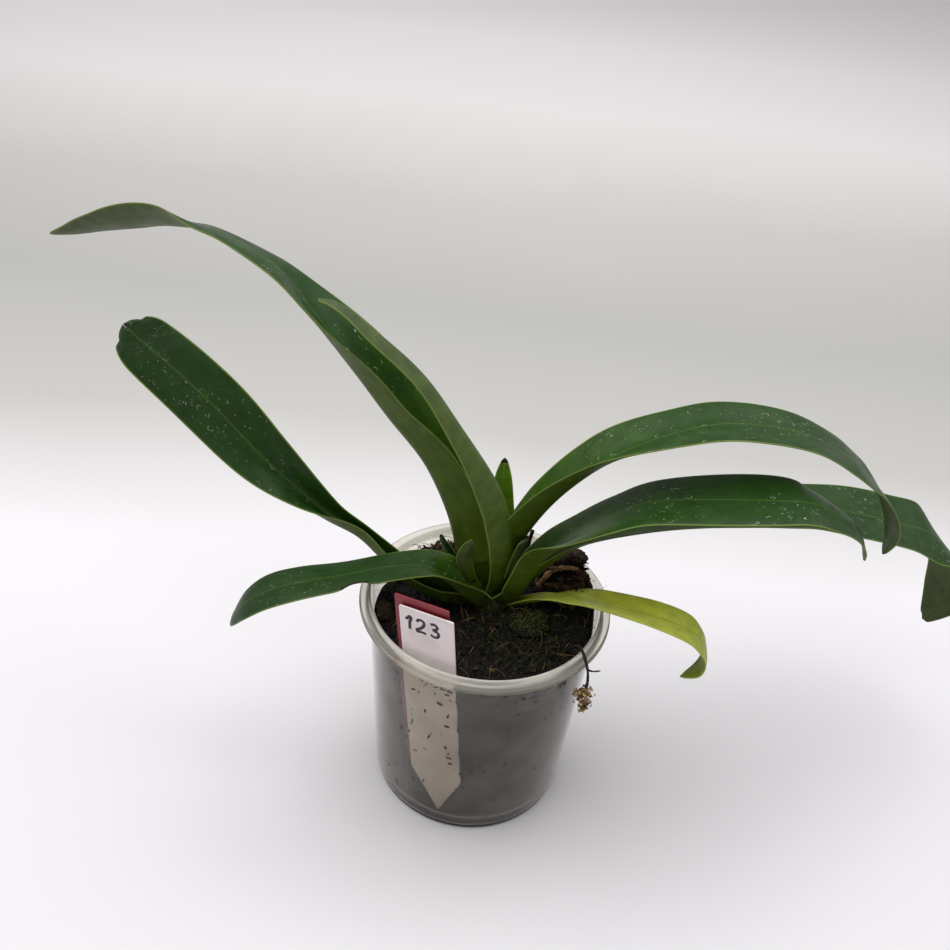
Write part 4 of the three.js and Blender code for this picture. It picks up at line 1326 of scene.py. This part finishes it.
@dataclass(frozen=True)
class DrySprig:
    """The dead twig that hangs over the rim, with a dry curled tuft on its end, in millimetres."""

    stem: Rod = Rod("stem", (
        (29.5, -14, 75), (31.6, -19, 82.6), (33.1, -24, 85.8), (34.9, -29.8, 84.2), (36, -29.6, 78.5),
        (36.6, -26.8, 71.5)), 0.62, 0.7, 0.5)
    side: Rod = Rod("side", ((35.3, -30, 83), (37.2, -29.6, 82.2), (39.6, -29.4, 82.6)), 0.42, 0.4, 0.5)
    lobes: tuple[Row, ...] = (
        (36.4, -26.2, 70, 2.2), (37.8, -25.4, 67, 2.5), (35.6, -26.4, 65.6, 2.1), (37.4, -25.6, 63, 2.2),
        (34.6, -26.2, 68.4, 1.7), (36.8, -25.8, 60.4, 1.5))
    curls: int = 150

    def build(self) -> bpy.types.Object:
        """Models the twig and the tuft as one piece with two finishes."""
        form = toned_form()
        self.stem.add_to(form)
        self.side.add_to(form, steps=14)
        bmesh.ops.recalc_face_normals(form, faces=form.faces)
        draw = random.Random(8)
        curls = [self.curl(draw) for _ in range(12)]
        for i in range(self.curls):
            x, y, z, size = self.lobes[i % len(self.lobes)]
            spread = Vector(draw.gauss(0, 0.42) * size for _ in range(3))
            axis = Vector(draw.uniform(-1, 1) for _ in range(3))
            place = Matrix.Translation(Vector((x, y, z)) + spread)
            absorb(form, draw.choice(curls), place @ Matrix.Rotation(draw.uniform(0, math.tau), 4, axis),
                   draw.random())
        bmesh.ops.scale(form, vec=(MM, MM, MM), verts=form.verts)
        # Dead twig, nearly black, and its dry tuft: straw-coloured, each curl in a tone of its own.
        bark = LooseMatter("dead_twig", "#0d0906", "#1d140c", "#3c2b1a", grain=0.8)
        straw = LooseMatter("dry_tuft", "#5c4424", "#94774a", "#c9ad7c", grain=0.9, by_bit=True, relief=0.3)
        piece = new_piece("dry_sprig", form, [bark.material(), straw.material()])
        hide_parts("dry_twig")
        return piece

    def curl(self, draw: random.Random) -> bmesh.types.BMesh:
        """A curled scale of the tuft."""
        bit = bmesh.new()
        bmesh.ops.create_grid(bit, x_segments=2, y_segments=5, size=1)
        long, wide, bow = draw.uniform(0.6, 1.3), draw.uniform(0.25, 0.5), draw.uniform(0.9, 2.2)
        for vert in bit.verts:
            angle = vert.co.y * bow
            taper = wide * (1.1 - 0.6 * abs(vert.co.y))
            vert.co = (vert.co.x * taper, long * math.sin(angle) / bow, long * (1 - math.cos(angle)) / bow)
        bmesh.ops.solidify(bit, geom=bit.faces[:], thickness=0.16)
        for face in bit.faces:
            face.material_index = 1
        return bit


@dataclass(frozen=True)
class Studio:
    """The pale floor, the soft lights and the camera, in millimetres and degrees."""

    camera_at: Row = (-8.2, -285.0, 339.0)
    pitch: float = 35.59
    roll: float = 6.02
    focal_pixels: float = 1085.7
    image_pixels: float = 950
    sensor: float = 36.0
    floor_size: float = 9000

    def build(self) -> None:
        """Sets the stage."""
        self.add_floor()
        self.add_lights()
        self.add_camera()

    def add_floor(self) -> None:
        """Lays the floor under the pot."""
        form = bmesh.new()
        bmesh.ops.create_grid(form, x_segments=2, y_segments=2, size=self.floor_size * MM / 2)
        mesh = bpy.data.meshes.new("floor")
        form.to_mesh(mesh)
        form.free()
        mesh.materials.append(PaleSheet().material())
        floor = bpy.data.objects.new("floor", mesh)
        bpy.context.scene.collection.objects.link(floor)

    def add_lights(self) -> None:
        """Hangs a wide soft light above on the left, a weaker one at the right back, and a pale sky."""
        lamps = (
            ("key", (-300, 60, 1000), 1500, 12.0),
            ("fill", (450, 300, 900), 1000, 4.5),
        )
        for name, at, size, power in lamps:
            lamp = bpy.data.lights.new(name, "AREA")
            lamp.shape, lamp.size, lamp.energy = "DISK", size * MM, power
            item = bpy.data.objects.new(name, lamp)
            item.location = Vector(at) * MM
            item.rotation_euler = (Vector((0, 0, 60)) - Vector(at)).to_track_quat("-Z", "Y").to_euler()
            bpy.context.scene.collection.objects.link(item)
        world = bpy.data.worlds.new("pale_room")
        world.use_nodes = True
        sky = world.node_tree.nodes["Background"]
        sky.inputs["Color"].default_value = linear("#ece9ee")
        sky.inputs["Strength"].default_value = 0.5
        bpy.context.scene.world = world

    def add_camera(self) -> None:
        """Sets the camera where the photograph was taken from."""
        pitch, roll = math.radians(self.pitch), math.radians(self.roll)
        ahead = Vector((0, math.cos(pitch), -math.sin(pitch)))
        right = Vector((1, 0, 0))
        up = right.cross(ahead)
        rolled_right = right * math.cos(roll) + up * math.sin(roll)
        rolled_up = up * math.cos(roll) - right * math.sin(roll)
        turn = Matrix((rolled_right, rolled_up, -ahead)).transposed()
        data = bpy.data.cameras.new("camera")
        data.sensor_width = self.sensor
        data.lens = self.focal_pixels * self.sensor / self.image_pixels
        data.clip_start = 0.01
        camera = bpy.data.objects.new("camera", data)
        camera.matrix_world = Matrix.Translation(Vector(self.camera_at) * MM) @ turn.to_4x4()
        bpy.context.scene.collection.objects.link(camera)
        bpy.context.scene.camera = camera


MOUND = (31, 15)
BACK_HEAPS = ((-22, 28, 8), (-9, 33, 7))
MOSSY = (14, -8)
ROOT_STRIP = ((18.5, 12.5), (23, 15.2), (27.5, 14.2), (32, 13))
ROOT_LIFT = 1.5
STICK = ((13, 31, 72), (14.2, 33, 80), (15.5, 35, 87.5))


def near(x: float, y: float, middle: Row, reach: float) -> bool:
    """Whether a point lies within reach of a middle, in millimetres."""
    return math.hypot(x - middle[0], y - middle[1]) < reach


def on_mound(x: float, y: float) -> bool:
    """Whether a point lies on a heap of bark, at the right back or left back, clear of the root strip."""
    by_strip = 17 < x < 33 and abs(y - 13.8) < 2.2
    back_left = any(near(x, y, (a, b), reach) for a, b, reach in BACK_HEAPS)
    return (near(x, y, MOUND, 13) and not by_strip) or back_left


def by_crown(x: float, y: float) -> bool:
    """Whether a point lies under the leaf bases."""
    return near(x, y, (Crown.x, Crown.y), 7)


def off_mound(x: float, y: float) -> bool:
    """Whether a point lies on the level part of the mix and clear of the crown."""
    return not near(x, y, MOUND, 12) and not by_crown(x, y)


def by_moss(x: float, y: float) -> bool:
    """Whether a point lies near the moss and clear of the crown."""
    return near(x, y, MOSSY, 17) and not by_crown(x, y)


def lay_sticks(mix: PottingMix) -> None:
    """Lays the dry strip of root on the mound and stands the dark stick at the back."""
    # The dry skin of an old root is tan; the stick is dark and dull.
    skin = LooseMatter("dry_root_skin", "#6b4c2c", "#a07c50", "#c9a678", grain=0.9, relief=0.4)
    strip = tuple((x, y, mix.height(x, y) + ROOT_LIFT) for x, y in ROOT_STRIP)
    Rod("root_strip_skin", strip, 1.05, 0.6, 0.4).build(skin, "root_strip", "dry_root")
    bark = LooseMatter("dark_stick", "#0b0805", "#19110a", "#35261a", grain=0.9)
    Rod("stick_bark", STICK, 0.95, 0.8, 0.4).build(bark, "stick", "bark")


def scatter(litter: Litter) -> None:
    """Scatters the loose bits; the order of the calls sets the random numbers."""
    # Damp fines are almost black, bark is brown, moss is dull green and dead root fibre is tan.
    dark = LooseMatter("damp_litter", "#040403", "#0c0a06", "#2b2214", grain=1.0, by_bit=True)
    brown = LooseMatter("bark_litter", "#0a0603", "#1d130a", "#5a4228", grain=1.0, by_bit=True)
    green = LooseMatter("moss_litter", "#080b03", "#171c07", "#454c1c", grain=1.0, by_bit=True)
    tan = LooseMatter("root_fibre", "#150f07", "#33281a", "#8a7048", grain=1.0, by_bit=True)
    litter.chips("mix_flakes", 1700, (0.8, 3.8), off_mound, dark)
    litter.chips("mound_flakes", 1050, (1.5, 6.0), on_mound, brown, lift=0.5)
    litter.chips("mound_splinters", 95, (5.0, 9.0), on_mound, brown, lift=1.3)
    litter.fibres("moss_blades", 900, (2.0, 6.0), (0.07, 0.18), by_moss, green, sweep=(12, 50))
    litter.fibres("mix_fibres", 460, (3.0, 9.0), (0.05, 0.11), off_mound, tan, sweep=(25, 80))
    litter.fibres("mound_fibres", 120, (1.5, 5.0), (0.08, 0.2), on_mound, brown)
    litter.wall_crumbs(340)


def main() -> None:
    """Sets the stage, then builds every piece in order."""
    logging.basicConfig(level=logging.INFO, format="%(name)s %(message)s")
    Studio().build()
    pot = Pot()
    pot.build()
    mix = PottingMix(pot)
    mix.build()
    Crown().build()
    for leaf in LEAVES:
        leaf.build()
    WHITE_LABEL.build()
    RED_LABEL.build()
    MarkerNumber(WHITE_LABEL).build()
    for chip in CHIPS:
        chip.build()
    lay_sticks(mix)
    MossCushion(mix).build()
    DrySprig().build()
    scatter(Litter(mix))
    bpy.context.scene.view_settings.view_transform = "Standard"


if __name__ == "__main__":
    main()
